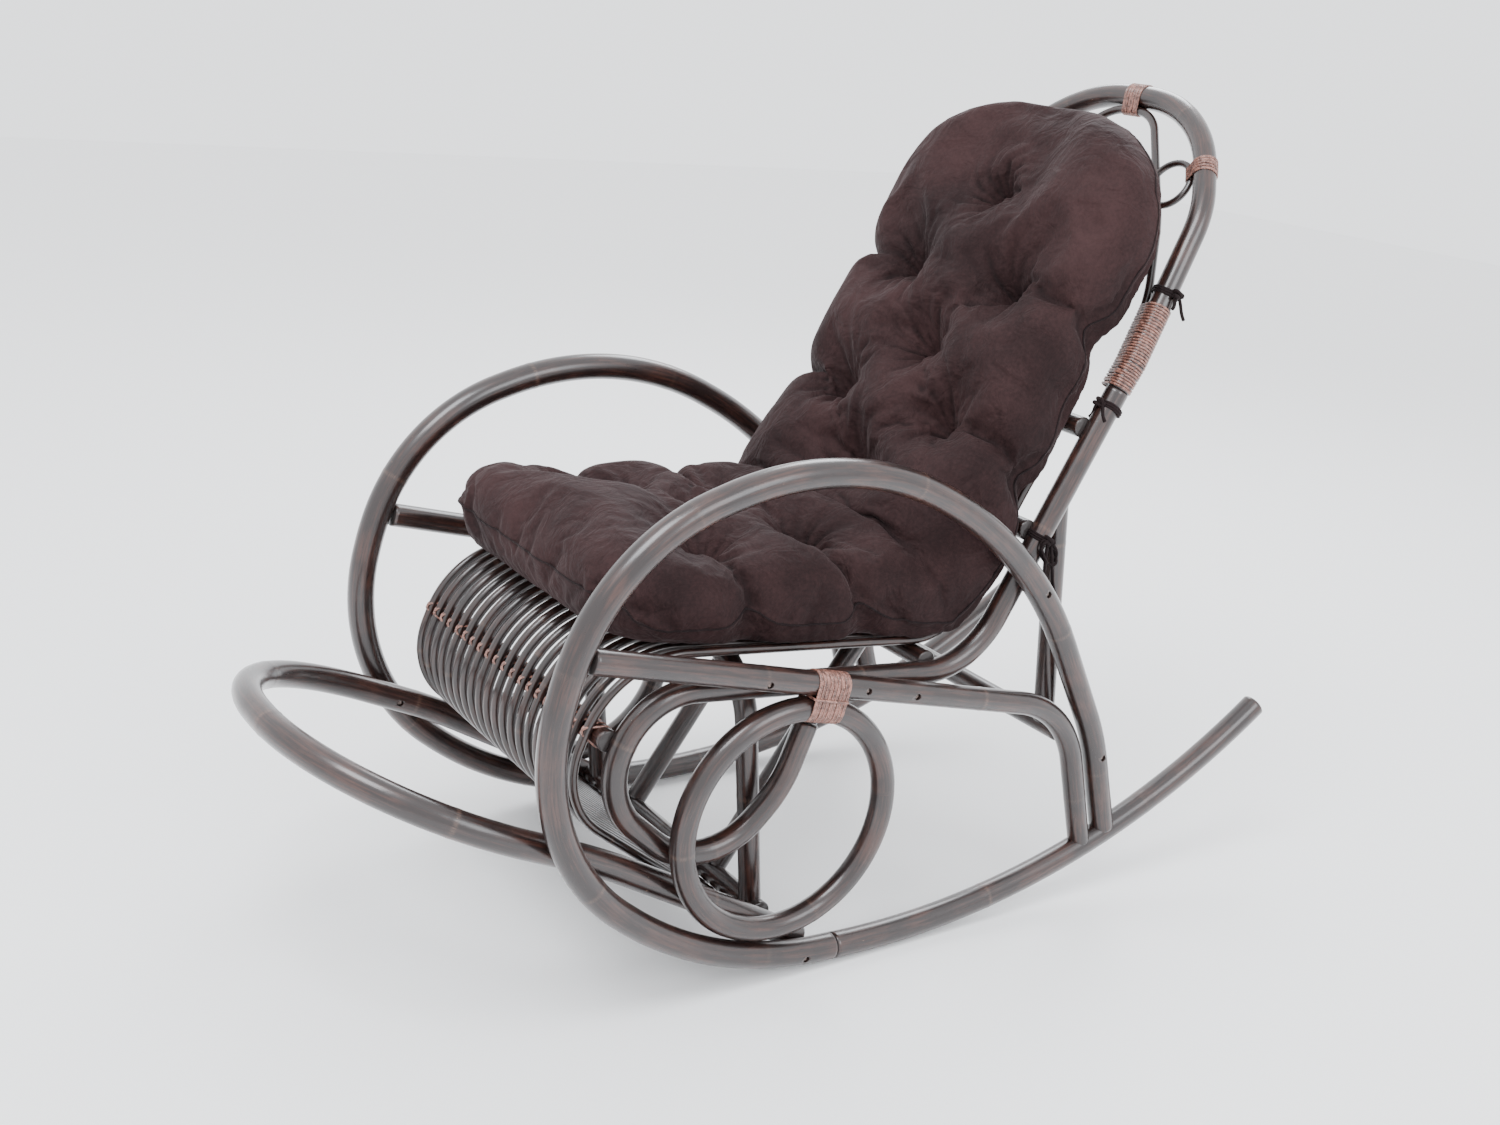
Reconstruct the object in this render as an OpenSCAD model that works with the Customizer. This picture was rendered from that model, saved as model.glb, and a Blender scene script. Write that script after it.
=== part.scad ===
// Rocking chair bent from rattan poles, with a roll of canes at the seat front and a tied cushion.
// Millimetres. X is across the chair, -Y is where the sitter faces, Z is up, Z = 0 is the floor.
// A pole's centre line is a chain [u, v, r]: corner points, each rounded with a bend of radius r.

/* [Poles] */
// Thickness of the arm loops, rockers and front rocker
frame_d = 34; // [30:1:38]
// Thickness of the rails, rings, seat poles and back arch
pole_d = 30; // [26:1:34]
// Thickness of the hoop, posts and lower cross bars
post_d = 28; // [24:1:30]
// Thickness of the bars under the canes
bar_d = 26; // [22:1:28]
// Thickness of a seat cane
cane_d = 11; // [9:0.5:13]
// Thickness of the cane in the small rings
ring_cane_d = 9; // [7:0.5:11]
// Gap left where two poles lie against each other
lay_gap = 0.2; // [0.1:0.1:0.5]

/* [Rockers] */
// Half the distance between the two side frames
side_x = 270; // [240:5:300]
// Bend radius of a rocker
rock_r = 1120; // [900:10:1400]
// How far behind the middle a rocker touches the floor
rock_y = 122; // [60:1:160]
// Forward tip at which the empty chair balances, in degrees
balance_tip = 6.8; // [0:0.1:12]
// Where the rear rocker ends
rock_end_y = 669; // [600:1:700]
// Where the rocker's bend starts behind the scarf
scarf_y = -72; // [-100:1:-50]
// Length of straight pole that takes the slanting scarf
scarf_len = 30; // [26:1:40]
// Height where the arm loop comes down on the rocker
loop_foot_z = 52; // [45:1:60]

/* [Front rocker] */
// Where a limb of the front rocker starts, along Y
front_y = -117; // [-140:1:-90]
// Height where a limb of the front rocker starts
front_z = 44; // [40:1:60]
// Rise of the limbs, in degrees
limb_rise = 37.2; // [30:0.1:42]
// Length of a limb before it bends forward
limb_len = 336; // [280:1:380]
// Rise of the bow, in degrees
bow_rise = 31; // [25:0.5:36]
// Bend radius between limb and bow
limb_r = 800; // [500:50:1000]

/* [Rails] */
// Front end of a seat rail, along Y and Z
rail_front = [-397, 513]; // [-420:540]
// Where a rail turns down into its rear leg, along Y and Z
rail_knee = [292, 263]; // [240:320]
// Foot of the rear leg, along Y and Z
rail_foot = [334, 43]; // [30:350]
// Bend radius of the knee
knee_r = 150; // [120:5:180]

/* [Seat and back] */
// Bend radius of the hollow between seat and back
hollow_r = 117; // [100:1:140]
// Height of the bars over the seat poles, centre to centre
bar_lift = 16; // [14:0.5:20]
// Lean of the back arch from upright, in degrees
arch_lean = 37.5; // [30:0.5:42]
// Where the arch is spliced to the seat poles, along Y and Z
splice = [372, 670]; // [340:700]
// Distance of the splice below the arch's first bend
splice_drop = 37.5; // [30:0.5:45]
// Number of canes over the seat
canes = 20; // [14:1:24]
// Distance between the outermost canes
cane_span = 424; // [400:1:430]

/* [Rings] */
// Centre of a side ring, along Y and Z
ring_at = [-153, 240]; // [-180:260]
// Bend radius of a side ring
ring_r = 143; // [130:1:150]
// Bend radius of a small ring in the arch
small_r = 31; // [25:1:36]
// Where a small ring meets the arch, in degrees around the arch's bend
small_a = 33; // [25:1:45]

/* [Cross bars] */
// The low bar between the front limbs, along Y and Z
low_bar = [-160, 86]; // [-180:100]
// The bar between the rear legs, along Y and Z
rear_bar = [294, 221]; // [180:310]
// Half the distance between the legs of the hoop
hoop_x = 197; // [180:1:200]
// Half the distance between the struts
strut_x = 105; // [60:5:140]
// Upper end of a strut, along Y and Z
strut_top = [84, 371]; // [60:400]
// Half the distance between the rear posts
post_x = 226; // [210:1:230]

/* [Lashings] */
// Thickness of the flat lashing core
core_t = 1.8; // [1.2:0.1:2.5]
// Width of a flat turn on a ring or arch
turn_w = 5; // [4:0.2:7]
// Space between two turns
turn_gap = 0.6; // [0.4:0.1:1]
// Turns around a side ring and its rail
ring_turns = 8; // [6:1:10]
// Turns over a splice
splice_turns = 15; // [12:1:18]
// Turns at the top of the arch and at a small ring
small_turns = 4; // [3:1:6]
// Thickness of the round core that ties a cane to the roll bar
tie_core_d = 2.2; // [1.5:0.1:3]
// Slant of a tie, in degrees
tie_slant = 25; // [15:1:30]

/* [Screws] */
// Diameter of a screw head
head_d = 7.4; // [6:0.2:9]
// Diameter of a screw shank
shank_d = 4; // [3:0.5:5]

/* [Cushion] */
// Thickness of the cushion
pad_t = 124; // [100:2:140]
// Half the width of the seat part
pad_seat_x = 230; // [200:2:235]
// Half the width of the back part
pad_back_x = 208; // [190:2:215]
// Length of the back part
pad_back_len = 680; // [600:5:720]
// Length of the seat part, from the hollow forward
pad_seat_len = 536; // [450:1:540]
// Rounding of the cushion's head
pad_head_r = 120; // [80:5:180]
// Gap under the cushion
pad_gap = 0.4; // [0.3:0.1:1]

/* [Hidden] */
$fn = 64;
wood = [0.22, 0.12, 0.10];
cane_wood = [0.18, 0.10, 0.09];
core = [0.55, 0.33, 0.27];
steel = [0.30, 0.28, 0.27];
cloth = [0.20, 0.13, 0.13];
inner_x = side_x - frame_d - lay_gap;
seat_x = side_x - frame_d / 2 - pole_d / 2 - lay_gap;
rock_z = frame_d / 2 + rock_r;
scarf_a = asin((scarf_y - rock_y) / rock_r);
scarf_z = rock_z - rock_r * cos(scarf_a);
foot_a = asin((rail_foot.x - rock_y) / rock_r);
// how far a straight piece reaches into the bend beside it, and its thickness against the bend's
bite = 1;
shy = 0.978;
// moves the whole chair so that the middle of its length is at Y = 0
middle_y = -98.1;
end_a = asin((rock_end_y - rock_y) / rock_r);
loop_toe = [-259, scarf_z + tan(scarf_a) * (-259 - scarf_y)];
arm_path = [[376, loop_foot_z, 0], [345, 204, 400], [216, 500, 550], [-62, 687, 395], [-364, 629, 258],
            [-427, 492, 310], [-494, 312, 272], [loop_toe.x, loop_toe.y, 480], [scarf_y, scarf_z, 0]];
rail_path = [[rail_front.x, rail_front.y, 0], [rail_knee.x, rail_knee.y, knee_r], [rail_foot.x, rail_foot.y, 0]];
seat_corner = [145, 345, hollow_r];
roll_top = [-318, 440, 90];
roll_front = [-379, 325, 90];
seat_path = [[splice.x, splice.y, 0], seat_corner, roll_top, roll_front,
             [-253, 176, 100], [-139, 266, 150], [-101, 343, 0]];
limb_end = [front_y - limb_len * cos(limb_rise), front_z + limb_len * sin(limb_rise)];
bow_start = limb_r * tan((limb_rise - bow_rise) / 2);
limb_path = [[front_y, front_z, 0], [limb_end.x, limb_end.y, limb_r],
             [limb_end.x - bow_start * cos(bow_rise), limb_end.y + bow_start * sin(bow_rise), 0]];
bow_half = [[inner_x, bow_start - bite, 0], [inner_x, 116, 208], [203, 331, 227]];
arch_half = [[seat_x, -splice_drop, 0], [seat_x, 0, 250], [211, 214, 155], [122, 356, 190]];
arch_path = both(arch_half);
inner_drop = 356 - pole_d / 2 - cane_d / 2 - lay_gap;
leg_x = seat_x - pole_d / 2 - cane_d / 2 - lay_gap;
inner_half = [[leg_x, 2 - splice_drop, 0], [leg_x, 0, 200], [leg_x - 10, 80, 200], [150, 188, 300],
              [40, inner_drop, 60]];
arch_foot = [splice.x + splice_drop * sin(arch_lean), splice.y + splice_drop * cos(arch_lean)];
cane_lift = bar_lift + bar_d / 2 + cane_d / 2;
cane_rest = cane_d / 2 + cane_lift;
cane_line = shifted([[351, 640, 0], seat_corner, roll_top, roll_front, [-253, 176, 0]], -cane_lift);
cane_toe = [-167, 65, 0];
cane_path = [cane_line[0], cane_line[1], cane_line[2], [cane_line[3].x, cane_line[3].y, 95], cane_toe];
roll_c = bend_centre(seat_path, 2);
roll_bar_r = roll_top[2] + bar_lift;
roll_bar_a = 150;
roll_bar = roll_c + roll_bar_r * [cos(roll_bar_a), sin(roll_bar_a)];
small_bend = bend_centre(arch_path, 3);
small_reach = arch_half[3][2] - pole_d / 2 - ring_cane_d / 2 - small_r - lay_gap;
small_c = small_bend + small_reach * [cos(small_a), sin(small_a)];
seat_dir = unit([roll_top.x - seat_corner.x, roll_top.y - seat_corner.y]);
back_dir = unit([splice.x - seat_corner.x, splice.y - seat_corner.y]);
seat_slope = -atan(seat_dir.y / seat_dir.x);
back_lean = atan(back_dir.x / back_dir.y);
rail_dir = unit(rail_knee - rail_front);
rail_slope = atan2(rail_dir.y, rail_dir.x);
bar_end = seat_x - 6;
// screws: along Y, along Z, outermost X of the pole, way the screw points, length
rail_screws = [[-44, 385, side_x + pole_d / 2, -1, 44], [-182, 431, side_x + pole_d / 2, -1, 44],
               [30, 357, side_x + pole_d / 2, -1, 44]];
arm_screws = [[232, 443, side_x + frame_d / 2, -1, 46], [-135, 43, side_x + frame_d / 2, -1, 48],
              [352, 175, side_x + frame_d / 2, -1, 26]];
limb_screws = [[-431, 273, inner_x - frame_d / 2, 1, 44]];

function unit(v) = v / norm(v);
function both(half) = concat(half, [for (i = [len(half) - 1:-1:0]) [-half[i].x, half[i].y, half[i][2]]]);
function run(path, i) = unit([path[i + 1].x - path[i].x, path[i + 1].y - path[i].y]);
function turn(path, i) = acos(run(path, i - 1) * run(path, i));
function side(path, i) = sign(run(path, i - 1).x * run(path, i).y - run(path, i - 1).y * run(path, i).x);
function trim(path, i) = i == 0 || i == len(path) - 1 ? 0 : path[i][2] * tan(turn(path, i) / 2);
function bend_centre(path, i) =
    [path[i].x, path[i].y] + unit(run(path, i) - run(path, i - 1)) * path[i][2] / cos(turn(path, i) / 2);
function leftward(v) = [-v.y, v.x];
function shifted_end(p, d, o) = [p.x - d.y * o, p.y + d.x * o, 0];
function shifted_corner(path, i, o) =
    let (a = leftward(run(path, i - 1)), b = leftward(run(path, i)), q = (a + b) * o / (1 + a * b))
    [path[i].x + q.x, path[i].y + q.y, path[i][2] - o * side(path, i)];
// the same chain, moved o to its left
function shifted(path, o) = [for (i = [0:len(path) - 1])
    i == 0 ? shifted_end(path[0], run(path, 0), o)
    : i == len(path) - 1 ? shifted_end(path[i], run(path, i - 1), o)
    : shifted_corner(path, i, o)];

module straight(a, dir, length, d) {
    translate([a.x, a.y, 0]) rotate([0, 0, atan2(dir.y, dir.x)]) rotate([0, 90, 0]) cylinder(d = d, h = length);
}

module bend(path, i, d) {
    s = side(path, i);
    from = atan2(run(path, i - 1).y, run(path, i - 1).x) - 90 * s;
    c = bend_centre(path, i);
    translate([c.x, c.y, 0]) rotate([0, 0, s > 0 ? from : from - turn(path, i)])
        rotate_extrude(angle = turn(path, i)) translate([path[i][2], 0]) circle(d = d);
}

// a pole of diameter d along a chain in the XY plane
module pole(path, d) {
    for (i = [0:len(path) - 2]) {
        dir = run(path, i);
        before = i > 0 ? bite : 0;
        after = i < len(path) - 2 ? bite : 0;
        from = trim(path, i) - before;
        length = norm([path[i + 1].x - path[i].x, path[i + 1].y - path[i].y]) - from - trim(path, i + 1) + after;
        assert(length > before + after - 0.001, "two bends run into each other");
        if (length > before + after + 0.01) straight([path[i].x, path[i].y] + dir * from, dir, length, d * shy);
    }
    for (i = [1:len(path) - 2]) bend(path, i, d);
}

// tips the chair about the middle of its rockers' bend, which leaves it standing on the floor
module centred() {
    translate([0, rock_y + middle_y, rock_z]) rotate([balance_tip, 0, 0])
        translate([0, -rock_y, -rock_z]) children();
}

// a chain's u and v become the chair's Y and Z, at distance x from the middle
module in_side(x) {
    translate([x, 0, 0]) rotate([90, 0, 90]) children();
}

// a chain's u and v become X and the way up the leaning arch
module in_arch() {
    translate([0, arch_foot.x, arch_foot.y]) rotate([90 - arch_lean, 0, 0]) children();
}

module cross_bar(at, half, d) {
    translate([-half, at.x, at.y]) rotate([0, 90, 0]) cylinder(d = d, h = 2 * half);
}

module rocker_arc(from, to, d) {
    translate([rock_y, rock_z, 0]) rotate([0, 0, from - 90]) rotate_extrude(angle = to - from, $fn = 360)
        translate([rock_r, 0]) circle(d = d);
}

// the straight end of a rocker, from the bend forward
module rocker_tip() {
    straight([scarf_y, scarf_z] + [cos(scarf_a), sin(scarf_a)] * bite * 2, [-cos(scarf_a), -sin(scarf_a)],
             scarf_len + 2 * bite, frame_d * shy);
}

// what lies behind (1) or before (-1) the slanting scarf cut
module scarf_side(s) {
    reach = 3 * frame_d;
    translate([scarf_y, scarf_z, 0]) rotate([0, 0, scarf_a]) translate([-scarf_len / 2, 0, 0]) rotate([0, 0, -40])
        translate([s > 0 ? 0 : -reach, -reach, -reach]) cube([reach, 2 * reach, 2 * reach]);
}

module screw_holes(screws, s) {
    for (q = screws) {
        translate([s * q[2], q[0], q[1]]) rotate([0, 90 * q[3] * s, 0]) {
            translate([0, 0, -1]) cylinder(d = head_d + 0.6, h = 7);
            cylinder(d = shank_d + 0.4, h = q[4] + 1);
        }
    }
}

module screws_in(screws, s) {
    for (q = screws) {
        translate([s * q[2], q[0], q[1]]) rotate([0, 90 * q[3] * s, 0]) {
            translate([0, 0, 3]) cylinder(d = head_d, h = 2.8);
            translate([0, 0, 3]) cylinder(d = shank_d, h = q[4] - 3);
        }
    }
}

module arm_loop(s) {
    color(wood) difference() {
        in_side(s * side_x) difference() {
            pole(arm_path, frame_d);
            rocker_arc(foot_a - 4, foot_a + 6, frame_d + lay_gap);
            scarf_side(1);
        }
        screw_holes(arm_screws, s);
        screw_holes(limb_screws, s);
    }
}

module rear_rocker(s) {
    color(wood) in_side(s * side_x) difference() {
        union() {
            rocker_arc(scarf_a, end_a, frame_d);
            rocker_tip();
        }
        translate([lay_gap, 0, 0]) scarf_side(-1);
    }
}

module front_limb(s, d) {
    in_side(s * inner_x) pole(limb_path, d);
}

module front_rocker() {
    color(wood) difference() {
        union() {
            for (s = [-1, 1]) front_limb(s, frame_d);
            translate([0, limb_end.x, limb_end.y]) rotate([180 - bow_rise, 0, 0]) pole(both(bow_half), frame_d);
        }
        for (s = [-1, 1]) {
            screw_holes(arm_screws, s);
            screw_holes(limb_screws, s);
        }
    }
}

module seat_rail(s) {
    color(wood) difference() {
        in_side(s * side_x) difference() {
            pole(rail_path, pole_d);
            pole([for (i = [4:6]) i == 5 ? arm_path[i] : [arm_path[i].x, arm_path[i].y, 0]], frame_d + lay_gap);
            rocker_arc(foot_a - 4, foot_a + 6, frame_d + lay_gap);
        }
        screw_holes(rail_screws, s);
    }
}

module side_ring(s) {
    color(wood) in_side(s * side_x) translate([ring_at.x, ring_at.y, 0])
        rotate_extrude() translate([ring_r, 0]) circle(d = pole_d);
}

module seat_pole(s) {
    color(wood) difference() {
        in_side(s * seat_x) pole(seat_path, pole_d);
        screw_holes(rail_screws, s);
        screw_holes(arm_screws, s);
    }
}

module back_arch() {
    color(wood) in_arch() pole(arch_path, pole_d);
}

module inner_arch() {
    color(wood) in_arch() pole(both(inner_half), cane_d);
}

module small_ring(s) {
    color(wood) in_arch() translate([s * small_c.x, small_c.y, 0])
        rotate_extrude() translate([small_r, 0]) circle(d = ring_cane_d);
}

module front_hoop() {
    top = seat_line_z(low_bar.x) + (cane_lift - cane_d / 2 - post_d / 2) / cos(seat_slope) - 1;
    half = [[hoop_x, low_bar.y, 0], [hoop_x, top, 80]];
    color(wood) difference() {
        translate([0, low_bar.x, 0]) rotate([90, 0, 0]) pole(both(half), post_d);
        cross_bar(low_bar, hoop_x + post_d, post_d + lay_gap);
    }
}

function seat_line_z(y) = seat_corner.y + (seat_corner.x - y) * tan(seat_slope);

module strut(s) {
    dir = unit(strut_top - low_bar);
    color(wood) difference() {
        in_side(s * strut_x) straight(low_bar, dir, norm(strut_top - low_bar), post_d);
        cross_bar(low_bar, hoop_x, post_d + lay_gap);
        cross_bar(strut_top, hoop_x, bar_d + lay_gap);
    }
}

module rear_post(s) {
    color(wood) difference() {
        translate([s * post_x, rear_bar.x, rear_bar.y]) cylinder(d = post_d, h = 350);
        cross_bar(rear_bar, side_x, post_d + lay_gap);
        in_side(s * seat_x) straight(seat_corner, back_dir, 440, pole_d + lay_gap);
        translate([s * post_x - pole_d, seat_corner.x, seat_corner.y]) rotate([-back_lean, 0, 0])
            translate([0, pole_d / 5 - 400, 0]) cube([2 * pole_d, 400, 600]);
    }
}

module low_cross_bar() {
    color(wood) difference() {
        cross_bar(low_bar, inner_x, post_d);
        for (s = [-1, 1]) front_limb(s, frame_d + lay_gap);
    }
}

module rear_cross_bar() {
    color(wood) difference() {
        cross_bar(rear_bar, side_x - 4, post_d);
        for (s = [-1, 1]) in_side(s * side_x) {
            pole(rail_path, pole_d + lay_gap);
            pole([for (i = [0:2]) i == 1 ? arm_path[i] : [arm_path[i].x, arm_path[i].y, 0]], frame_d + lay_gap);
        }
    }
}

// a bar that lies over the seat poles, cut to fit on them
module saddled_bar(at) {
    color(wood) difference() {
        cross_bar(at, bar_end, bar_d);
        for (s = [-1, 1]) in_side(s * seat_x) pole(seat_path, pole_d + lay_gap);
    }
}

function on_back(length) = [seat_corner.x, seat_corner.y] + back_dir * length + leftward(back_dir) * bar_lift;

module roll_bar() {
    saddled_bar(roll_bar);
}

module seat_bar() {
    saddled_bar(strut_top);
}

module back_bar_low() {
    saddled_bar(on_back(190));
}

module back_bar_high() {
    saddled_bar(on_back(335));
}

function cane_x(i) = (i / (canes - 1) - 0.5) * cane_span;

module seat_canes() {
    color(cane_wood) for (i = [0:canes - 1]) in_side(cane_x(i)) pole(cane_path, cane_d);
}

// a flat turn around a round pole r1 and a second pole r2 at distance apart
module race(r1, r2, apart) {
    a = asin((r1 - r2) / apart);
    circle(r = r1);
    translate([0, apart]) circle(r = r2);
    polygon([[r1 * cos(a), r1 * sin(a)], [r2 * cos(a), apart + r2 * sin(a)],
             [-r2 * cos(a), apart + r2 * sin(a)], [-r1 * cos(a), r1 * sin(a)]]);
}

module turn_round(r1, r2, apart, w) {
    linear_extrude(height = w, center = true) difference() {
        race(r1 + core_t, r2 + core_t, apart);
        race(r1, r2, apart);
    }
}

module ring_lashing(s) {
    foot = rail_front + rail_dir * ((ring_at - rail_front) * rail_dir);
    drop = norm(foot - ring_at);
    pitch = turn_w + turn_gap;
    color(core) for (i = [0:ring_turns - 1]) {
        off = (i - (ring_turns - 1) / 2) * pitch;
        at = foot + rail_dir * off;
        translate([s * side_x, at.x, at.y]) rotate([rail_slope - 90, 0, 0])
            turn_round(pole_d / 2 + 0.2, pole_d / 2 + 0.7, drop - sqrt(ring_r * ring_r - off * off), turn_w);
    }
}

// a turn across the arch plane at [u, v], around a pole that runs towards angle a
module arch_turn(at, a, second_r, apart, w) {
    translate([at.x, at.y, 0]) rotate([0, 0, a]) rotate([0, 90, 0])
        turn_round(pole_d / 2 + 0.2, second_r, apart, w);
}

module splice_lashing(s) {
    pitch = 7.8;
    lean = atan((seat_x - arch_half[2].x) / arch_half[2].y);
    color(core) mirror([s > 0 ? 0 : 1, 0, 0]) in_arch() for (i = [0:splice_turns - 1]) {
        v = -32 + i * pitch;
        arch_turn([seat_x - max(0, v) * tan(lean), v], v > 0 ? 90 + lean : 90, cane_d / 2 + 0.5,
                  seat_x - leg_x + 0.3, pitch - turn_gap);
    }
}

module arch_top_lashing() {
    color(core) in_arch() for (i = [0:small_turns]) {
        arch_turn([(i - small_turns / 2) * (turn_w + turn_gap), arch_half[3].y], 180, cane_d / 2 + 0.3,
                  arch_half[3].y - inner_drop, turn_w);
    }
}

module small_ring_lashings() {
    r = arch_half[3][2];
    color(core) for (s = [0, 1]) mirror([s, 0, 0]) in_arch() for (i = [0:small_turns - 1]) {
        off = (i - (small_turns - 1) / 2) * (turn_w + turn_gap - 1);
        a = small_a + off / r * 180 / PI;
        at = small_bend + r * [cos(a), sin(a)];
        arch_turn(at, a + 90, ring_cane_d / 2 + 0.9,
                  pole_d / 2 + ring_cane_d / 2 + lay_gap + small_r - sqrt(small_r * small_r - off * off), turn_w - 1.8);
    }
}

module roll_lashings() {
    // middle of the bar and the cane together, and the loop that goes round both
    mid = roll_c + (roll_bar_r + cane_d / 2) * [cos(roll_bar_a), sin(roll_bar_a)];
    color(core) for (i = [0:canes - 1]) in_side(cane_x(i)) translate([mid.x, mid.y, 0]) rotate([0, 0, roll_bar_a])
        rotate([sign(cane_x(i)) * tie_slant, 0, 0])
            rotate_extrude() translate([bar_d / 2 + cane_d / 2 + 2.4, 0]) circle(d = tie_core_d);
}

module frame_screws() {
    color(steel) for (s = [-1, 1]) {
        screws_in(rail_screws, s);
        screws_in(arm_screws, s);
        screws_in(limb_screws, s);
    }
}

// the cushion's underside, and its rounded fit into the hollow of the canes
module hollow_cut() {
    under = shifted([[splice.x, splice.y, 0], seat_corner, roll_top], -cane_rest - pad_gap);
    c = bend_centre(under, 1);
    r = under[1][2];
    t = trim(under, 1);
    corner = [under[1].x, under[1].y];
    translate([-side_x, 0, 0]) rotate([90, 0, 90]) linear_extrude(height = 2 * side_x) difference() {
        polygon([c, corner - run(under, 0) * t, corner - (run(under, 1) - run(under, 0)) * 40,
                 corner + run(under, 1) * t]);
        circle_at(c, r);
    }
}

module circle_at(c, r) {
    translate(c) circle(r = r, $fn = 180);
}

module cushion() {
    base = cane_rest + pad_gap;
    round_r = pad_t / 2;
    color(cloth) difference() {
        union() {
            translate([0, seat_corner.x, seat_corner.y]) rotate([-seat_slope, 0, 0]) {
                translate([-pad_seat_x, round_r - pad_seat_len, base]) cube([2 * pad_seat_x, pad_seat_len, pad_t]);
                translate([-pad_seat_x, round_r - pad_seat_len, base + round_r]) rotate([0, 90, 0])
                    cylinder(r = round_r, h = 2 * pad_seat_x);
            }
            translate([0, seat_corner.x, seat_corner.y]) rotate([90 - back_lean, 0, 0])
                translate([0, 0, base]) linear_extrude(height = pad_t) back_outline();
        }
        hollow_cut();
        below_seat(base);
        behind_back(base);
    }
}

module back_outline() {
    translate([-pad_back_x, 0]) square([2 * pad_back_x, pad_back_len - pad_head_r]);
    translate([pad_head_r - pad_back_x, 0]) square([2 * (pad_back_x - pad_head_r), pad_back_len]);
    for (s = [-1, 1]) translate([s * (pad_back_x - pad_head_r), pad_back_len - pad_head_r]) circle(r = pad_head_r);
}

module below_seat(base) {
    translate([-side_x, seat_corner.x, seat_corner.y]) rotate([-seat_slope, 0, 0])
        translate([0, -300, base - 200]) cube([2 * side_x, 600, 200]);
}

module behind_back(base) {
    translate([-side_x, seat_corner.x, seat_corner.y]) rotate([90 - back_lean, 0, 0])
        translate([0, -300, base - 200]) cube([2 * side_x, 600, 200]);
}

// a fabric strap around a pole that runs along Z here, with its knot and two tails towards +X
module strap(knot_a, tail) {
    linear_extrude(height = 9, center = true) difference() {
        circle(r = pole_d / 2 + 1.5);
        circle(r = pole_d / 2 + 0.3);
    }
    rotate([0, 0, knot_a]) translate([pole_d / 2 + 7, 0, 0]) {
        sphere(d = 13);
        for (t = [-1, 1]) rotate([t * 14, 0, 0]) translate([-1, t * 3 - 4, -tail]) cube([1.6, 8, tail]);
    }
}

module strap_at(s, length, knot_a, tail) {
    translate([0, seat_corner.x, seat_corner.y]) rotate([-back_lean, 0, 0])
        translate([s * seat_x, 0, length]) mirror([s > 0 ? 0 : 1, 0, 0]) strap(knot_a, tail);
}

module seat_ties() {
    color(cloth) for (s = [-1, 1]) strap_at(s, 189, 0, 60);
}

module back_ties() {
    color(cloth) for (s = [-1, 1]) strap_at(s, 372, -90, 22);
}

module head_ties() {
    v = 98;
    lean = atan((seat_x - arch_half[2].x) / arch_half[2].y);
    color(cloth) for (s = [0, 1]) mirror([s, 0, 0]) in_arch() translate([seat_x - v * tan(lean), v, 0])
        rotate([0, 0, lean]) rotate([-90, 0, 0]) strap(0, 26);
}

centred() arm_loop(1);  // arm_loop_left
centred() arm_loop(-1);  // arm_loop_right
centred() rear_rocker(1);  // rear_rocker_left
centred() rear_rocker(-1);  // rear_rocker_right
centred() front_rocker();
centred() seat_rail(1);  // seat_rail_left
centred() seat_rail(-1);  // seat_rail_right
centred() side_ring(1);  // side_ring_left
centred() side_ring(-1);  // side_ring_right
centred() seat_pole(1);  // seat_pole_left
centred() seat_pole(-1);  // seat_pole_right
centred() back_arch();
centred() inner_arch();
centred() small_ring(1);  // small_ring_left
centred() small_ring(-1);  // small_ring_right
centred() front_hoop();
centred() strut(1);  // strut_left
centred() strut(-1);  // strut_right
centred() rear_post(1);  // rear_post_left
centred() rear_post(-1);  // rear_post_right
centred() low_cross_bar();
centred() rear_cross_bar();
centred() roll_bar();
centred() seat_bar();
centred() back_bar_low();
centred() back_bar_high();
centred() seat_canes();
centred() ring_lashing(1);  // ring_lashing_left
centred() ring_lashing(-1);  // ring_lashing_right
centred() splice_lashing(1);  // splice_lashing_left
centred() splice_lashing(-1);  // splice_lashing_right
centred() arch_top_lashing();
centred() small_ring_lashings();
centred() roll_lashings();
centred() frame_screws();
centred() cushion();
centred() seat_ties();
centred() back_ties();
centred() head_ties();
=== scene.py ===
"""Rattan rocking chair: bent poles, lashings, seat canes and a long tufted cushion."""

import logging
import math
from dataclasses import dataclass, field
from enum import Enum
from typing import Iterable, Sequence

import bmesh
import bpy
import numpy as np
from mathutils import Matrix, Vector
from mathutils.bvhtree import BVHTree

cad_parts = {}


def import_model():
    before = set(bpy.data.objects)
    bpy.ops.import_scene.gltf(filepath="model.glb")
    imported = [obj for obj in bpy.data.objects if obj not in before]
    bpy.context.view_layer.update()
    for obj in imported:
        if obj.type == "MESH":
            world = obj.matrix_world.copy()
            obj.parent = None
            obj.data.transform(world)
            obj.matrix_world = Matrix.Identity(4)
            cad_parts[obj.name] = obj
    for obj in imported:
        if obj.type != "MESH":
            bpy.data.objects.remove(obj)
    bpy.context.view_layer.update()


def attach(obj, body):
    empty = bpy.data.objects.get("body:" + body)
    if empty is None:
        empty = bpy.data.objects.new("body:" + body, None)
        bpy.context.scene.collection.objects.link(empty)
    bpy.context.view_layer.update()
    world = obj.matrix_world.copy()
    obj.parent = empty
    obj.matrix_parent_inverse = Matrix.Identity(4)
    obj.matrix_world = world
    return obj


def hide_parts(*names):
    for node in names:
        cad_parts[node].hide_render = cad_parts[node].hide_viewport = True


LOG = logging.getLogger("rocking_chair")
MM = 0.001
MIDDLE_Y = -98.1
BALANCE_TIP = math.radians(6.8)
SIDE_X = 270.0
FRAME_D = 34.0
POLE_D = 30.0
POST_D = 28.0
BAR_D = 26.0
CANE_D = 11.0
RING_CANE_D = 9.0
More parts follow.
